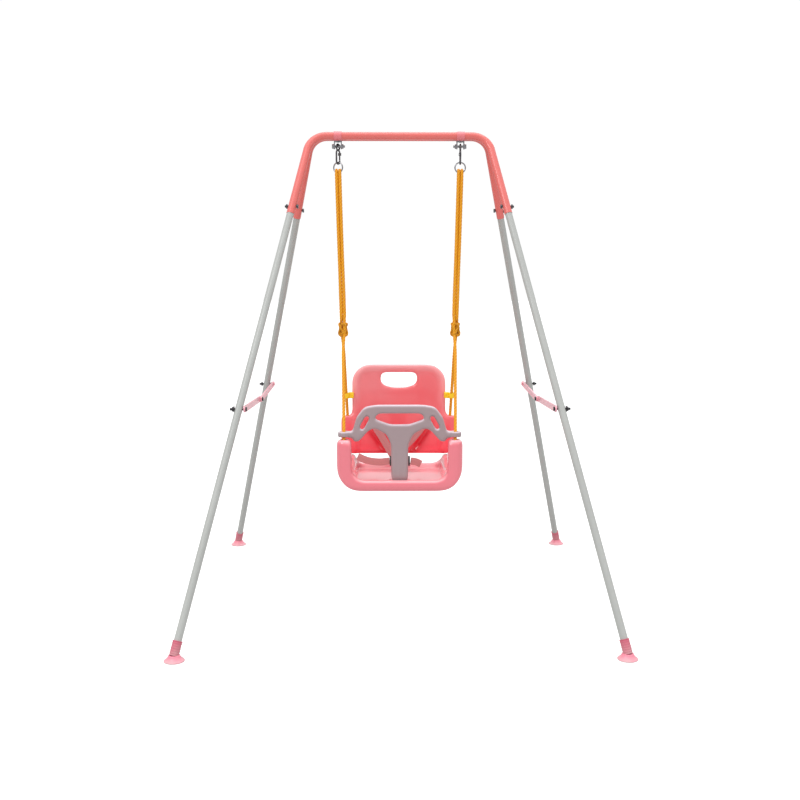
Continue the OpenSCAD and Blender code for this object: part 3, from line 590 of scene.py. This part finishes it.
def twisted_rope(name, main, deep, hollow):
    """""Rope finish: fibres a little lighter and darker, and painted shade darkening the hollows
    between the strands.""
    """
    finish, tree, shader, where = blank_finish(name, 0.55, specular=0.3)
    lay = effect(tree, "Strands", where["UV"], Fibres=5.2)
    tree.links.new(mixed(tree, lay["Fibre"], deep, main), shader.inputs["Base Color"])
    laid_over(finish, lay["Hollow"], hollow)
    roughened(tree, shader, lay["Fibre"], (0.62, 0.4), lay["Height"], 0.35, 0.0006)


def webbing(name, main, deep):
    """""Belt finish: slanting ribs of thread, with painted shade between them and darker fuzz."" """
    _, tree, shader, where = blank_finish(name, 0.7, specular=0.25, sheen=0.35)
    weave = effect(tree, "Weave", where["UV"], Along=2.2, Across=12.0)
    tree.links.new(mixed(tree, weave["Mask"], deep, main), shader.inputs["Base Color"])
    roughened(tree, shader, weave["Mask"], (0.8, 0.6), weave["Height"], 0.5, 0.0005)


# The skins by their slots. The main colour is one from the sidebar or a screen colour, and the
# deep one is a share of it or a screen colour. Drift is how fine the clouds between them are and
# amount how strong; rough holds the least and the most roughness; peel, pits and depth are the
# fineness, pitting and strength of the bump; dust is the height in metres that it reaches.
SKINS = {
    "coral_tube": dict(
        name="coral_powder_coat", main="tube", deep=0.78, drift=6, amount=0.5, rough=(0.24, 0.34),
        peel=240, pits=0.15, depth=0.035, coat=0.35, scuffs=0.08, scuff_colour=(0.85, 0.6, 0.58),
    ),
    "grey_tube": dict(
        name="grey_powder_coat", main="leg", deep=0.8, drift=7, amount=0.5, rough=(0.36, 0.48),
        peel=320, pits=0.25, depth=0.06, coat=0.15, scuffs=0.12, dust=0.05,
    ),
    "coral_clamp": dict(
        name="coral_clamp_plastic", main="clamp", deep=0.8, drift=20, amount=0.4,
        rough=(0.25, 0.38), peel=300, pits=0.4, depth=0.15, coat=0.3,
    ),
    "rose_sleeve": dict(
        name="rose_rubber", main="sleeve", deep=0.75, drift=30, amount=0.6, rough=(0.5, 0.66),
        peel=700, pits=0.7, depth=0.3, specular=0.35, dust=0.05,
    ),
    "pink_cup": dict(
        name="soft_pink_rubber", main="cup", deep=0.8, drift=30, amount=0.5, rough=(0.3, 0.48),
        peel=500, pits=0.5, depth=0.2, coat=0.15, dust=0.012,
    ),
    "zinc": dict(
        name="zinc_plate", main=(168, 170, 174), deep=(112, 114, 118), drift=60, amount=0.8,
        rough=(0.28, 0.45), peel=900, pits=0.8, depth=0.2, metallic=1.0, scuffs=0.5,
        scuff_scale=220,
    ),
    "dark_steel": dict(
        name="worn_steel", main=(108, 107, 110), deep=(58, 58, 62), drift=70, amount=0.8,
        rough=(0.26, 0.46), peel=900, pits=0.8, depth=0.25, metallic=1.0, scuffs=0.7,
        scuff_scale=260,
    ),
    "black_bolt": dict(
        name="black_oxide", main=(58, 56, 60), deep=(28, 27, 30), drift=80, amount=0.7,
        rough=(0.3, 0.5), peel=900, pits=0.7, depth=0.2, metallic=0.4, scuffs=0.4,
        scuff_scale=240, scuff_colour=(0.35, 0.34, 0.34),
    ),
    "brace_pink": dict(
        name="pale_pink_coat", main="brace", deep=0.86, drift=10, amount=0.5, rough=(0.24, 0.36),
        peel=240, pits=0.15, depth=0.04, coat=0.3, scuffs=0.12, scuff_colour=(0.8, 0.72, 0.72),
    ),
    "ring_steel": dict(
        name="ring_chrome", main=(166, 168, 172), deep=(118, 120, 124), drift=50, amount=0.5,
        rough=(0.12, 0.24), peel=900, pits=0.6, depth=0.08, metallic=1.0, scuffs=0.3,
        scuff_scale=260,
    ),
    "seat_pink": dict(
        name="gloss_pink_plastic", main="seat", deep=0.86, drift=5, amount=0.45,
        rough=(0.12, 0.22), peel=160, pits=0.2, depth=0.05, coat=0.5, coat_roughness=0.06,
        scuffs=0.12, scuff_colour=(0.95, 0.75, 0.76),
    ),
    "back_coral": dict(
        name="gloss_coral_plastic", main="backrest", deep=1.0, drift=5, amount=0.4,
        rough=(0.14, 0.24), peel=160, pits=0.2, depth=0.05, coat=0.5, coat_roughness=0.07,
    ),
    "bar_mauve": dict(
        name="mauve_plastic", main="t_bar", deep=0.85, drift=7, amount=0.45, rough=(0.28, 0.4),
        peel=260, pits=0.4, depth=0.1, coat=0.25, coat_roughness=0.15, scuffs=0.12,
    ),
    "clip_yellow": dict(
        name="yellow_plastic", main="clip", deep=0.8, drift=20, amount=0.4, rough=(0.22, 0.34),
        peel=300, pits=0.3, depth=0.1, coat=0.3,
    ),
    "buckle_black": dict(
        name="black_plastic", main=(38, 37, 39), deep=(22, 21, 23), drift=40, amount=0.5,
        rough=(0.34, 0.5), peel=800, pits=0.7, depth=0.2,
    ),
}
# The other finishes by their slots.
FIBRES = {
    "rope_orange": "orange_rope", "rope_knots": "orange_rope_knots", "webbing": "rose_webbing",
}
# The screen colours laid over some skins by the values that their pieces' points carry: 'lit' is a
# painted highlight on faces that look up and on the backrest's rim, 'deep' is painted shade in the
# backrest's slanting creases.
TONES = (
    ("seat_pink", "lit", (254, 176, 182)),
    ("back_coral", "lit", (250, 168, 172)),
    ("back_coral", "deep", (226, 26, 44)),
    ("bar_mauve", "lit", (206, 190, 200)),
)


def shade(value, main=None):
    """A colour by its name in the sidebar, as a share of the main one, or from the screen."""
    if isinstance(value, str):
        return tuple(getattr(bpy.context.scene.swing_colours, value))
    if isinstance(value, float):
        return tuple(x * value for x in main)
    return linear(*value)


def finishes():
    """Every finish by its slot's name, built once from the colours in the sidebar."""
    names = {slot: values["name"] for slot, values in SKINS.items()} | FIBRES
    if not all(name in bpy.data.materials for name in names.values()):
        made = {}
        for slot, values in SKINS.items():
            main = shade(values["main"])
            made[slot] = skin(**{**values, "main": main, "deep": shade(values["deep"], main)})
        # Painted shade: the backrest turns a deeper red towards its bottom.
        shaded_downwards(made["back_coral"], shade("backrest_painted_shade"), 0.37, 0.5)
        for slot, key, colour in TONES:
            toned(made[slot], key, linear(*colour))
        rope, belt = shade("rope"), shade("belt")
        # The rope's hollows between its strands get painted shade.
        twisted_rope("orange_rope", rope, shade(0.74, rope), linear(206, 118, 14))
        # The knots are a darker copy of the rope finish, with darker hollows: painted shade.
        knots = shade(0.94, rope), shade(0.6, rope)
        twisted_rope("orange_rope_knots", *knots, linear(150, 76, 12))
        webbing("rose_webbing", belt, shade(0.6, belt))
    return {slot: bpy.data.materials[name] for slot, name in names.items()}


# -------------------- sizes and colours


def size_property(name, description, default, least, most):
    """A length that a user can change, in metres."""
    return FloatProperty(
        name=name, description=description, default=default, min=least, max=most, unit="LENGTH"
    )


class SwingSizes(bpy.types.PropertyGroup):
    """Sizes of the pieces that are made new."""

    rope_thickness: size_property(
        "Rope thickness", "Diameter of the twisted rope", 0.008, 0.004, 0.01
    )
    strand_pitch: size_property(
        "Strand pitch", "Length in which a strand goes once round the rope", 0.026, 0.01, 0.06
    )
    knot_rope: size_property(
        "Knot rope", "Thickness of the rope pulled tight in a knot", 0.006, 0.004, 0.008
    )
    belt_width: size_property("Belt width", "Width of the harness webbing", 0.02, 0.015, 0.03)
    belt_thickness: size_property(
        "Belt thickness", "Thickness of the harness webbing", 0.0016, 0.0008, 0.003
    )
    crease_depth: size_property(
        "Crease depth", "Depth of the slanting creases low in the backrest", 0.0035, 0.0, 0.005
    )
    slot_rim: size_property(
        "Slot rim", "Height of the raised rims of the T-bar's openings", 0.0012, 0.0, 0.003
    )
    mould_cell: size_property(
        "Mould cell", "Cell size of the moulded surfaces", 0.0024, 0.0018, 0.006
    )
    softness: IntProperty(
        name="Softness", description="Rounds of smoothing that turn the moulded edges round",
        default=16, min=2, max=40,
    )


def colour_property(name, description, screen):
    """A colour that a user can change, from its screen value."""
    return FloatVectorProperty(
        name=name, description=description, subtype="COLOR", size=3, min=0, max=1,
        default=linear(*screen),
    )


class SwingColours(bpy.types.PropertyGroup):
    """Colours of the finishes."""

    tube: colour_property("Top tubes", "Powder coat of the bent top tubes", (226, 108, 102))
    leg: colour_property("Legs", "Powder coat of the leg tubes", (176, 178, 175))
    clamp: colour_property("Clamps", "Plastic of the bar clamps", (228, 122, 128))
    sleeve: colour_property("Sleeves", "Rubber of the leg sleeves", (206, 92, 116))
    cup: colour_property("Cups", "Rubber of the suction cups", (240, 140, 160))
    brace: colour_property("Braces", "Coat of the folding braces", (236, 166, 178))
    rope: colour_property("Rope", "Fibre of the rope", (252, 176, 30))
    seat: colour_property("Seat", "Plastic of the seat", (236, 124, 136))
    backrest: colour_property("Backrest", "Plastic of the backrest", (238, 106, 112))
    # Colour of the painted shade low in the backrest.
    backrest_painted_shade: colour_property("Backrest, low", "Painted shade low in the backrest", (246, 74, 88))
    t_bar: colour_property("T-bar", "Plastic of the T-bar", (162, 142, 145))
    clip: colour_property("Clips", "Plastic of the rope clips", (252, 208, 10))
    belt: colour_property("Belts", "Webbing of the harness", (212, 136, 136))


# -------------------- pieces


class SWING_OT_stage(bpy.types.Operator):
    """Makes the camera, the pale floor and the soft studio light"""

    bl_idname = "swing.stage"
    bl_label = "Stage"

    def execute(self, context):
        scene = context.scene
        lens = bpy.data.cameras.new("camera")
        lens.lens, lens.sensor_width = LENS, SENSOR
        camera = bpy.data.objects.new("camera", lens)
        camera.location = CAMERA_AT
        camera.rotation_euler = (math.pi / 2 - CAMERA_DOWN, 0, -CAMERA_TURN)
        scene.collection.objects.link(camera)
        scene.camera = camera
        scene.view_settings.view_transform = "Standard"

        # A flat square far wider than the view, as a grid of two by two points.
        ends = [-FLOOR_REACH, FLOOR_REACH]
        x, y = np.meshgrid(ends, ends, indexing="ij")
        floor = surface("floor", np.stack([x, y, 0 * x - FLOOR_DROP], -1), closed_columns=False)
        finish, tree, shader, where = blank_finish("pale_floor", 0.6, specular=0.2)
        tone = effect(
            tree, "Colour drift", where["Object"], Main=FLOOR_MAIN, Deep=FLOOR_DEEP, Scale=2.0,
            Amount=0.5,
        )
        # Seen straight, the floor glows to plain white; it lights the object only as a pale floor.
        tree.links.new(tone["Color"], shader.inputs["Base Color"])
        tree.links.new(tone["Color"], shader.inputs["Emission Color"])
        seen = tree.nodes.new("ShaderNodeLightPath").outputs["Is Camera Ray"]
        tree.links.new(seen, shader.inputs["Emission Strength"])
        floor.data.materials.append(finish)

        # The room's light grows from the horizon upwards; seen straight, it is plain white.
        scene.world = bpy.data.worlds.new("studio")
        scene.world.use_nodes = True
        tree = scene.world.node_tree
        sky = tree.nodes["Background"]
        sky.inputs["Color"].default_value = (1, 1, 1, 1)
        way = apart(tree, tree.nodes.new("ShaderNodeTexCoord").outputs["Generated"])
        climb = ranged(tree, way["Z"], 0.0, 0.9, (SKY_LOW, SKY_HIGH))
        seen = tree.nodes.new("ShaderNodeLightPath").outputs["Is Camera Ray"]
        power = node(tree, "ShaderNodeMix", {0: seen, 2: climb, 3: SKY_SEEN}, data_type="FLOAT")
        tree.links.new(power.outputs[0], sky.inputs["Strength"])

        daylight = bpy.data.lights.new("daylight", "SUN")
        daylight.energy, daylight.angle = SUN_POWER, math.radians(SUN_WIDTH)
        sun = bpy.data.objects.new("daylight", daylight)
        sun.rotation_euler = (math.radians(SUN_TILT), 0, math.radians(SUN_TURN))
        scene.collection.objects.link(sun)
        for name, (at, size, watts) in LAMPS.items():
            light = bpy.data.lights.new(name, "AREA")
            light.size, light.energy = size, watts
            lamp = bpy.data.objects.new(name, light)
            lamp.location = at
            x, y, z = np.array(LAMPS_AIM) - np.array(at)
            lamp.rotation_euler = (
                math.atan2(math.hypot(x, y), -z), 0, math.atan2(y, x) - math.pi / 2
            )
            scene.collection.objects.link(lamp)
        return {"FINISHED"}


def three_lobes(around, least, more, power=1.0):
    """Size of a ring of three strands: the least share of the radius, plus more times the size of
    the cosine of one and a half times the angle, to a power."""
    return least + more * np.abs(np.cos(1.5 * equal_angles(around))) ** power


def rope_tube(path, radius, pitch):
    """Rope: a ring of three lobes carried along the path and turned once per pitch, and closed to
    its ends as a quarter circle."""
    s = lengths_along(path)
    lobes = radius * three_lobes(ROPE_SIDES, 0.87, 0.16, 0.8)
    ends = np.sqrt(np.clip(1 - (1 - np.minimum(s, s[-1] - s) / radius).clip(0, 1) ** 2, 0, 1))
    section = ring_section(lobes[None, :] * ends[:, None], ROPE_SIDES, 2 * math.pi * s / pitch)
    return carried(path, section, np.array([1.0, 0.0, 0.0]))


def woven_ring(centre, thickness, radius, height, weave, leads, bights):
    """Knot woven round the rope: height goes as the cosine and distance from the axis as the
    sine of twice the same angle, so each lead passes over one crossing and under the next."""
    t = equal_angles(KNOT_STEPS * leads, leads)
    wave = bights * t / leads
    out = radius + weave * np.sin(2 * wave)
    radial = np.stack([np.cos(t), np.sin(t), 0 * t], -1)
    path = np.asarray(centre) + out[:, None] * radial
    path[:, 2] += height * np.cos(wave)
    lobes = thickness / 2 * three_lobes(KNOT_SIDES, 0.85, 0.15)
    # The strands turn four times for each time round.
    section = ring_section(lobes[None, :], KNOT_SIDES, 4 * t)
    return carried(path, section, radial, closed=True)


class SWING_OT_ropes(bpy.types.Operator):
    """Makes the two ropes, their woven knots and the stopper knots under the seat"""

    bl_idname = "swing.ropes"
    bl_label = "Ropes and knots"

    def execute(self, context):
        sizes = context.scene.swing_sizes
        knot_uv = (0.35, 1 / KNOT_SIDES)

        def knot(name, stands_for, centre, thickness, shape):
            """A woven knot as a piece."""
            grid = woven_ring(centre, thickness, **shape)
            made = surface(name, grid, closed_rows=True, uv_scale=knot_uv)
            return place(made, "seat", "rope_orange", stands_for, look="rope_knots")

        for side, name in ((-1, "left"), (1, "right")):
            path = curve_through(metres(ROPE_ROUTE, BOLT_HEIGHT, side), ROPE_STEP)
            grid = rope_tube(path, sizes.rope_thickness / 2, sizes.strand_pitch)
            uv_scale = (ROPE_STEP / ROPE_UV, 1 / ROPE_SIDES)
            rope = surface(name + "_twisted_rope", grid, uv_scale=uv_scale)
            place(rope, "seat", "rope_orange", name + "_rope")
            knot(
                name + "_woven_knot", name + "_wrap_knot", (side * 0.146, 0, 0.704),
                sizes.knot_rope, WRAP_KNOT,
            )
            stoppers = [
                knot(
                    f"{name}_{end}_stopper_knot", "rope_end_knots", (side * 0.140, y, 0.340),
                    STOPPER_ROPE, STOPPER_KNOT,
                )
                for end, y in (("front", -0.125), ("rear", 0.104))
            ]
        return {"FINISHED"}


class SWING_OT_seat(bpy.types.Operator):
    """Moulds the seat's base with its rounded rim and its dished pan"""

    bl_idname = "swing.seat"
    bl_label = "Seat base"

    def execute(self, context):
        sizes = context.scene.swing_sizes

        def shape(co, normal):
            """The pan sinks by its depth times one parabola across the seat and one from front
            to back."""
            x, y, z = co.T
            inside = (np.abs(x) < 0.105) & (y > -0.118) & (y < 0.088)
            pan = (normal[:, 2] > 0.7) & (z < 0.325) & inside
            across = np.clip(1 - (x / 0.11) ** 2, 0, 1)
            along = np.clip(1 - ((y + 0.015) / 0.105) ** 2, 0, 1)
            return np.stack([x, y, z - PAN_DEPTH * pan * across * along], -1)

        # Faces that look up get a painted highlight, laid over the seat as its 'lit' tone.
        tones = {"lit": painted_upward_highlight(0.75, 0.15, 0.9)}
        cell, rounds = sizes.mould_cell * 1.1, sizes.softness + 14
        seat = softened("seat_base", "moulded_seat", cell, rounds, shape, tones)
        place(seat, "seat", "seat_pink", "seat_base")
        return {"FINISHED"}


class SWING_OT_backrest(bpy.types.Operator):
    """Moulds the backrest with its rounded rim, hand hole and slanting creases"""

    bl_idname = "swing.backrest"
    bl_label = "Backrest"

    def execute(self, context):
        sizes = context.scene.swing_sizes
        depth = sizes.crease_depth
        foot = (SEAT_UNDERSIDE + 55) / 1000

        def shape(co, normal):
            """Front points go back by a bell across each slanting line."""
            x, y, z = co.T
            front = rise(-normal[:, 1], 0.2, 0.6)
            for side in (-1, 1):
                fold = from_line(x, z, (side * 0.086, foot + 0.074), (side * 0.04, foot + 0.012))
                y = y + depth * front * bell(fold, 0.006)
            return np.stack([x, y, z], -1)

        def rim(co, normal):
            """""Painted highlight: a bell along the rim, at the distance from a rectangle with
            round corners, and a broad pool of light high on the left, both fading downwards, and
            the faces that look up."" """
            half_width, half_height, corner = 0.077, 0.0725, 0.051
            out_x = np.abs(co[:, 0]) - half_width
            out_z = np.abs(co[:, 2] - foot - 0.1235) - half_height
            out = np.hypot(np.maximum(out_x, 0), np.maximum(out_z, 0)) - corner
            edge = bell(out + np.minimum(np.maximum(out_x, out_z), 0) + 0.004, 0.016)
            painted_light_pool = bell(np.hypot(co[:, 0] + 0.075, co[:, 2] - foot - 0.175), 0.055)
            height = rise(co[:, 2], foot + 0.06, foot + 0.23)
            return height * (0.85 * edge + 0.35 * painted_light_pool) + 0.4 * rise(normal[:, 2], 0.4, 0.9)

        def painted_crease_shade(co, normal):
            """""Painted shade: bells across the two slanting creases, on the front only."" """
            x, z = co[:, 0], co[:, 2]
            folds = (
                from_line(x, z, (side * 0.086, foot + 0.085), (side * 0.036, foot + 0.004))
                for side in (-1, 1)
            )
            return 0.85 * bell(np.minimum(*folds), 0.013) * rise(-normal[:, 1], 0, 0.5)

        # 'lit' is a painted highlight on the rim and on upward faces, 'deep' is painted shade in
        # the creases.
        tones = {"lit": rim, "deep": painted_crease_shade}
        cell, rounds = sizes.mould_cell, sizes.softness + 26
        back = softened("backrest", "moulded_backrest", cell, rounds, shape, tones)
        place(back, "seat", "back_coral", "backrest")
        return {"FINISHED"}


class SWING_OT_t_bar(bpy.types.Operator):
    """Moulds the T-bar with raised rims around its openings"""

    bl_idname = "swing.t_bar"
    bl_label = "T-bar"

    def execute(self, context):
        sizes = context.scene.swing_sizes
        posts = (SEAT_UNDERSIDE + 133) / 1000

        def shape(co, normal):
            """Front and back points stand proud by a bell at three millimetres outside each
            slot's edge."""
            x, y, z = co.T
            face = np.sign(normal[:, 1]) * rise(np.abs(normal[:, 1]), 0.3, 0.8)
            for side in (-1, 1):
                slot = from_line(x, z, (side * 0.082, posts + 0.053), (side * 0.095, posts + 0.029))
                y = y + sizes.slot_rim * face * bell(slot - 0.0085, 0.0025)
            return np.stack([x, y, z], -1)

        # Faces that look up get a painted highlight, laid over the T-bar as its 'lit' tone.
        tones = {"lit": painted_upward_highlight(0.9, 0.1, 0.75)}
        cell, rounds = sizes.mould_cell * 0.85, sizes.softness + 14
        bar = softened("t_bar", "moulded_t_bar", cell, rounds, shape, tones)
        place(bar, "t_bar", "bar_mauve", "t_bar")
        return {"FINISHED"}


class SWING_OT_clips(bpy.types.Operator):
    """Moulds the two yellow clips that hold the ropes to the backrest"""

    bl_idname = "swing.clips"
    bl_label = "Rope clips"

    def execute(self, context):
        clips = softened("rope_clips", "moulded_clips", 0.0009, 8)
        place(clips, "seat", "clip_yellow", "rope_clips")
        return {"FINISHED"}


class SWING_OT_harness(bpy.types.Operator):
    """Makes the webbing belts and the two halves of the buckle"""

    bl_idname = "swing.harness"
    bl_label = "Harness"

    def execute(self, context):
        sizes = context.scene.swing_sizes
        # A belt's section is a flattened oval: half the width times the cosine of the angle to the
        # power 0.45, and half the thickness times its sine to the power 0.7.
        half = np.array([sizes.belt_width, sizes.belt_thickness]) / 2
        turn = ring_section(1.0, BELT_SIDES)[0]
        oval = half * np.sign(turn) * np.abs(turn) ** (0.45, 0.7)
        for name, (node_name, route, across) in BELT_ROUTES.items():
            path = curve_through(metres(route, SEAT_UNDERSIDE), 0.0015)
            # Each end closes to a point, close behind a ring of nearly full size.
            ends = np.ones(len(path))
            ends[[0, -1]] = 0
            ends[[1, -2]] = 0.96
            path[1] = path[0] * 0.97 + path[2] * 0.03
            path[-2] = path[-1] * 0.97 + path[-3] * 0.03
            grid = carried(path, oval[None] * ends[:, None, None], np.array(across, float))
            belt = surface(name, grid, uv_scale=(0.6, 1 / BELT_SIDES))
            tail = name == "belt_tail"
            body = "buckle_tongue" if tail else "seat"
            place(belt, body, "webbing", node_name)
        for node_name, body in (("buckle_body", "seat"), ("buckle_tongue", "buckle_tongue")):
            part = softened(node_name, "moulded_" + node_name, 0.0007, 5)
            place(part, body, "buckle_black", node_name)
        return {"FINISHED"}


class SWING_OT_feet(bpy.types.Operator):
    """Makes the suction cups and the ribbed rubber sleeves on the four legs"""

    bl_idname = "swing.feet"
    bl_label = "Feet"

    def execute(self, context):
        outline = curve_through(CUP_OUTLINE, 0.45) / 1000
        turn = ring_section(1.0, CUP_SIDES)[0]
        for face, end in ((-1, "front"), (1, "rear")):
            for side, name in ((-1, "left"), (1, "right")):
                leg, body = f"{end}_{name}", f"{end}_frame"
                # Cup: each outline point goes round the upright axis.
                low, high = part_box(leg + "_cup")
                middle = np.array([(low[0] + high[0]) / 2, (low[1] + high[1]) / 2])
                grid = np.empty((len(outline), CUP_SIDES, 3))
                grid[..., :2] = middle + outline[:, :1, None] * turn[None]
                grid[..., 2] = outline[:, 1:]
                cup = surface(leg + "_suction_cup", grid, uv_scale=(0.05, 1 / CUP_SIDES))
                place(cup, body, "pink_cup", leg + "_cup")

                # Sleeve: a ring round the leg's axis whose radius waves with shallow ribs and
                # swells to a bead at the top, closed onto the leg at both ends.
                mirror = np.array([side, face, 1])
                foot = mirror * LEG_FOOT
                down = foot - mirror * LEG_CORNER
                down /= np.linalg.norm(down)
                across = np.cross(down, (0, 1, 0))
                across /= np.linalg.norm(across)
                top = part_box(leg + "_sleeve")[1][2] - 0.0045
                s = np.concatenate([[0, 0], np.linspace(0, 1, 90), [1, 1]])
                z = top + (0.012 - top) * s
                axis = foot + (z / -down[2])[:, None] * -down
                ribs = RIB_HEIGHT * np.cos(s * 2 * math.pi * RIBS)
                radius = SLEEVE_RADIUS + ribs + BEAD * bell(s - 0.03, 0.035)
                radius[[0, -1]] = 0.0089
                radius[[1, -2]] = 0.0102
                rings = ring_section(radius[:, None], SLEEVE_SIDES, 0 * s)
                tube = axis[:, None, :] + rings @ np.stack([across, np.cross(down, across)])
                uv_scale = (0.05, 1 / SLEEVE_SIDES)
                sleeve = surface(leg + "_ribbed_sleeve", tube, uv_scale=uv_scale)
                place(sleeve, body, "rose_sleeve", leg + "_sleeve")
        return {"FINISHED"}


class SWING_OT_frame_finish(bpy.types.Operator):
    """Gives the tubes, bolts, brackets, hooks, rings and braces their finishes"""

    bl_idname = "swing.frame_finish"
    bl_label = "Frame and metalwork"

    def execute(self, context):
        finish = finishes()
        # The first of these that is part of a solid's name gives its slot.
        rules = (
            ("top_tube", "coral_tube"), ("_leg", "grey_tube"), ("bar_clamp", "coral_clamp"),
            ("bracket", "zinc"), ("hanger_", "zinc"), ("joint_", "dark_steel"),
            ("brace_front", "black_bolt"), ("brace_rear", "black_bolt"),
            ("brace_pin", "black_bolt"), ("_brace", "brace_pink"), ("hook", "dark_steel"),
            ("_ring", "ring_steel"),
        )
        for name, solid in NODES.items():
            slot = next((s for part, s in rules if part in name), None)
            if slot is None or solid.hide_render:
                continue
            solid.data.materials.clear()
            solid.data.materials.append(finish[slot])
        return {"FINISHED"}


class SWING_PT_pieces(bpy.types.Panel):
    """Lists the pieces, their sizes and their colours"""

    bl_label = "Swing Set"
    bl_space_type = "VIEW_3D"
    bl_region_type = "UI"
    bl_category = "Swing"

    def draw(self, context):
        layout = self.layout
        for group in (context.scene.swing_sizes, context.scene.swing_colours):
            column = layout.column()
            for key in group.__annotations__:
                column.prop(group, key)
        for operator in PIECES:
            layout.operator(operator.bl_idname)


PIECES = (
    SWING_OT_stage, SWING_OT_ropes, SWING_OT_seat, SWING_OT_backrest, SWING_OT_t_bar,
    SWING_OT_clips, SWING_OT_harness, SWING_OT_feet, SWING_OT_frame_finish,
)
CLASSES = (SwingSizes, SwingColours, *PIECES, SWING_PT_pieces)


def register():
    for cls in CLASSES:
        bpy.utils.register_class(cls)
    bpy.types.Scene.swing_sizes = PointerProperty(type=SwingSizes)
    bpy.types.Scene.swing_colours = PointerProperty(type=SwingColours)


def unregister():
    del bpy.types.Scene.swing_colours
    del bpy.types.Scene.swing_sizes
    for cls in reversed(CLASSES):
        bpy.utils.unregister_class(cls)


def main():
    register()
    for operator in PIECES:
        getattr(bpy.ops.swing, operator.bl_idname.split(".")[1])()
    bpy.context.view_layer.update()


if __name__ == "__main__":
    main()
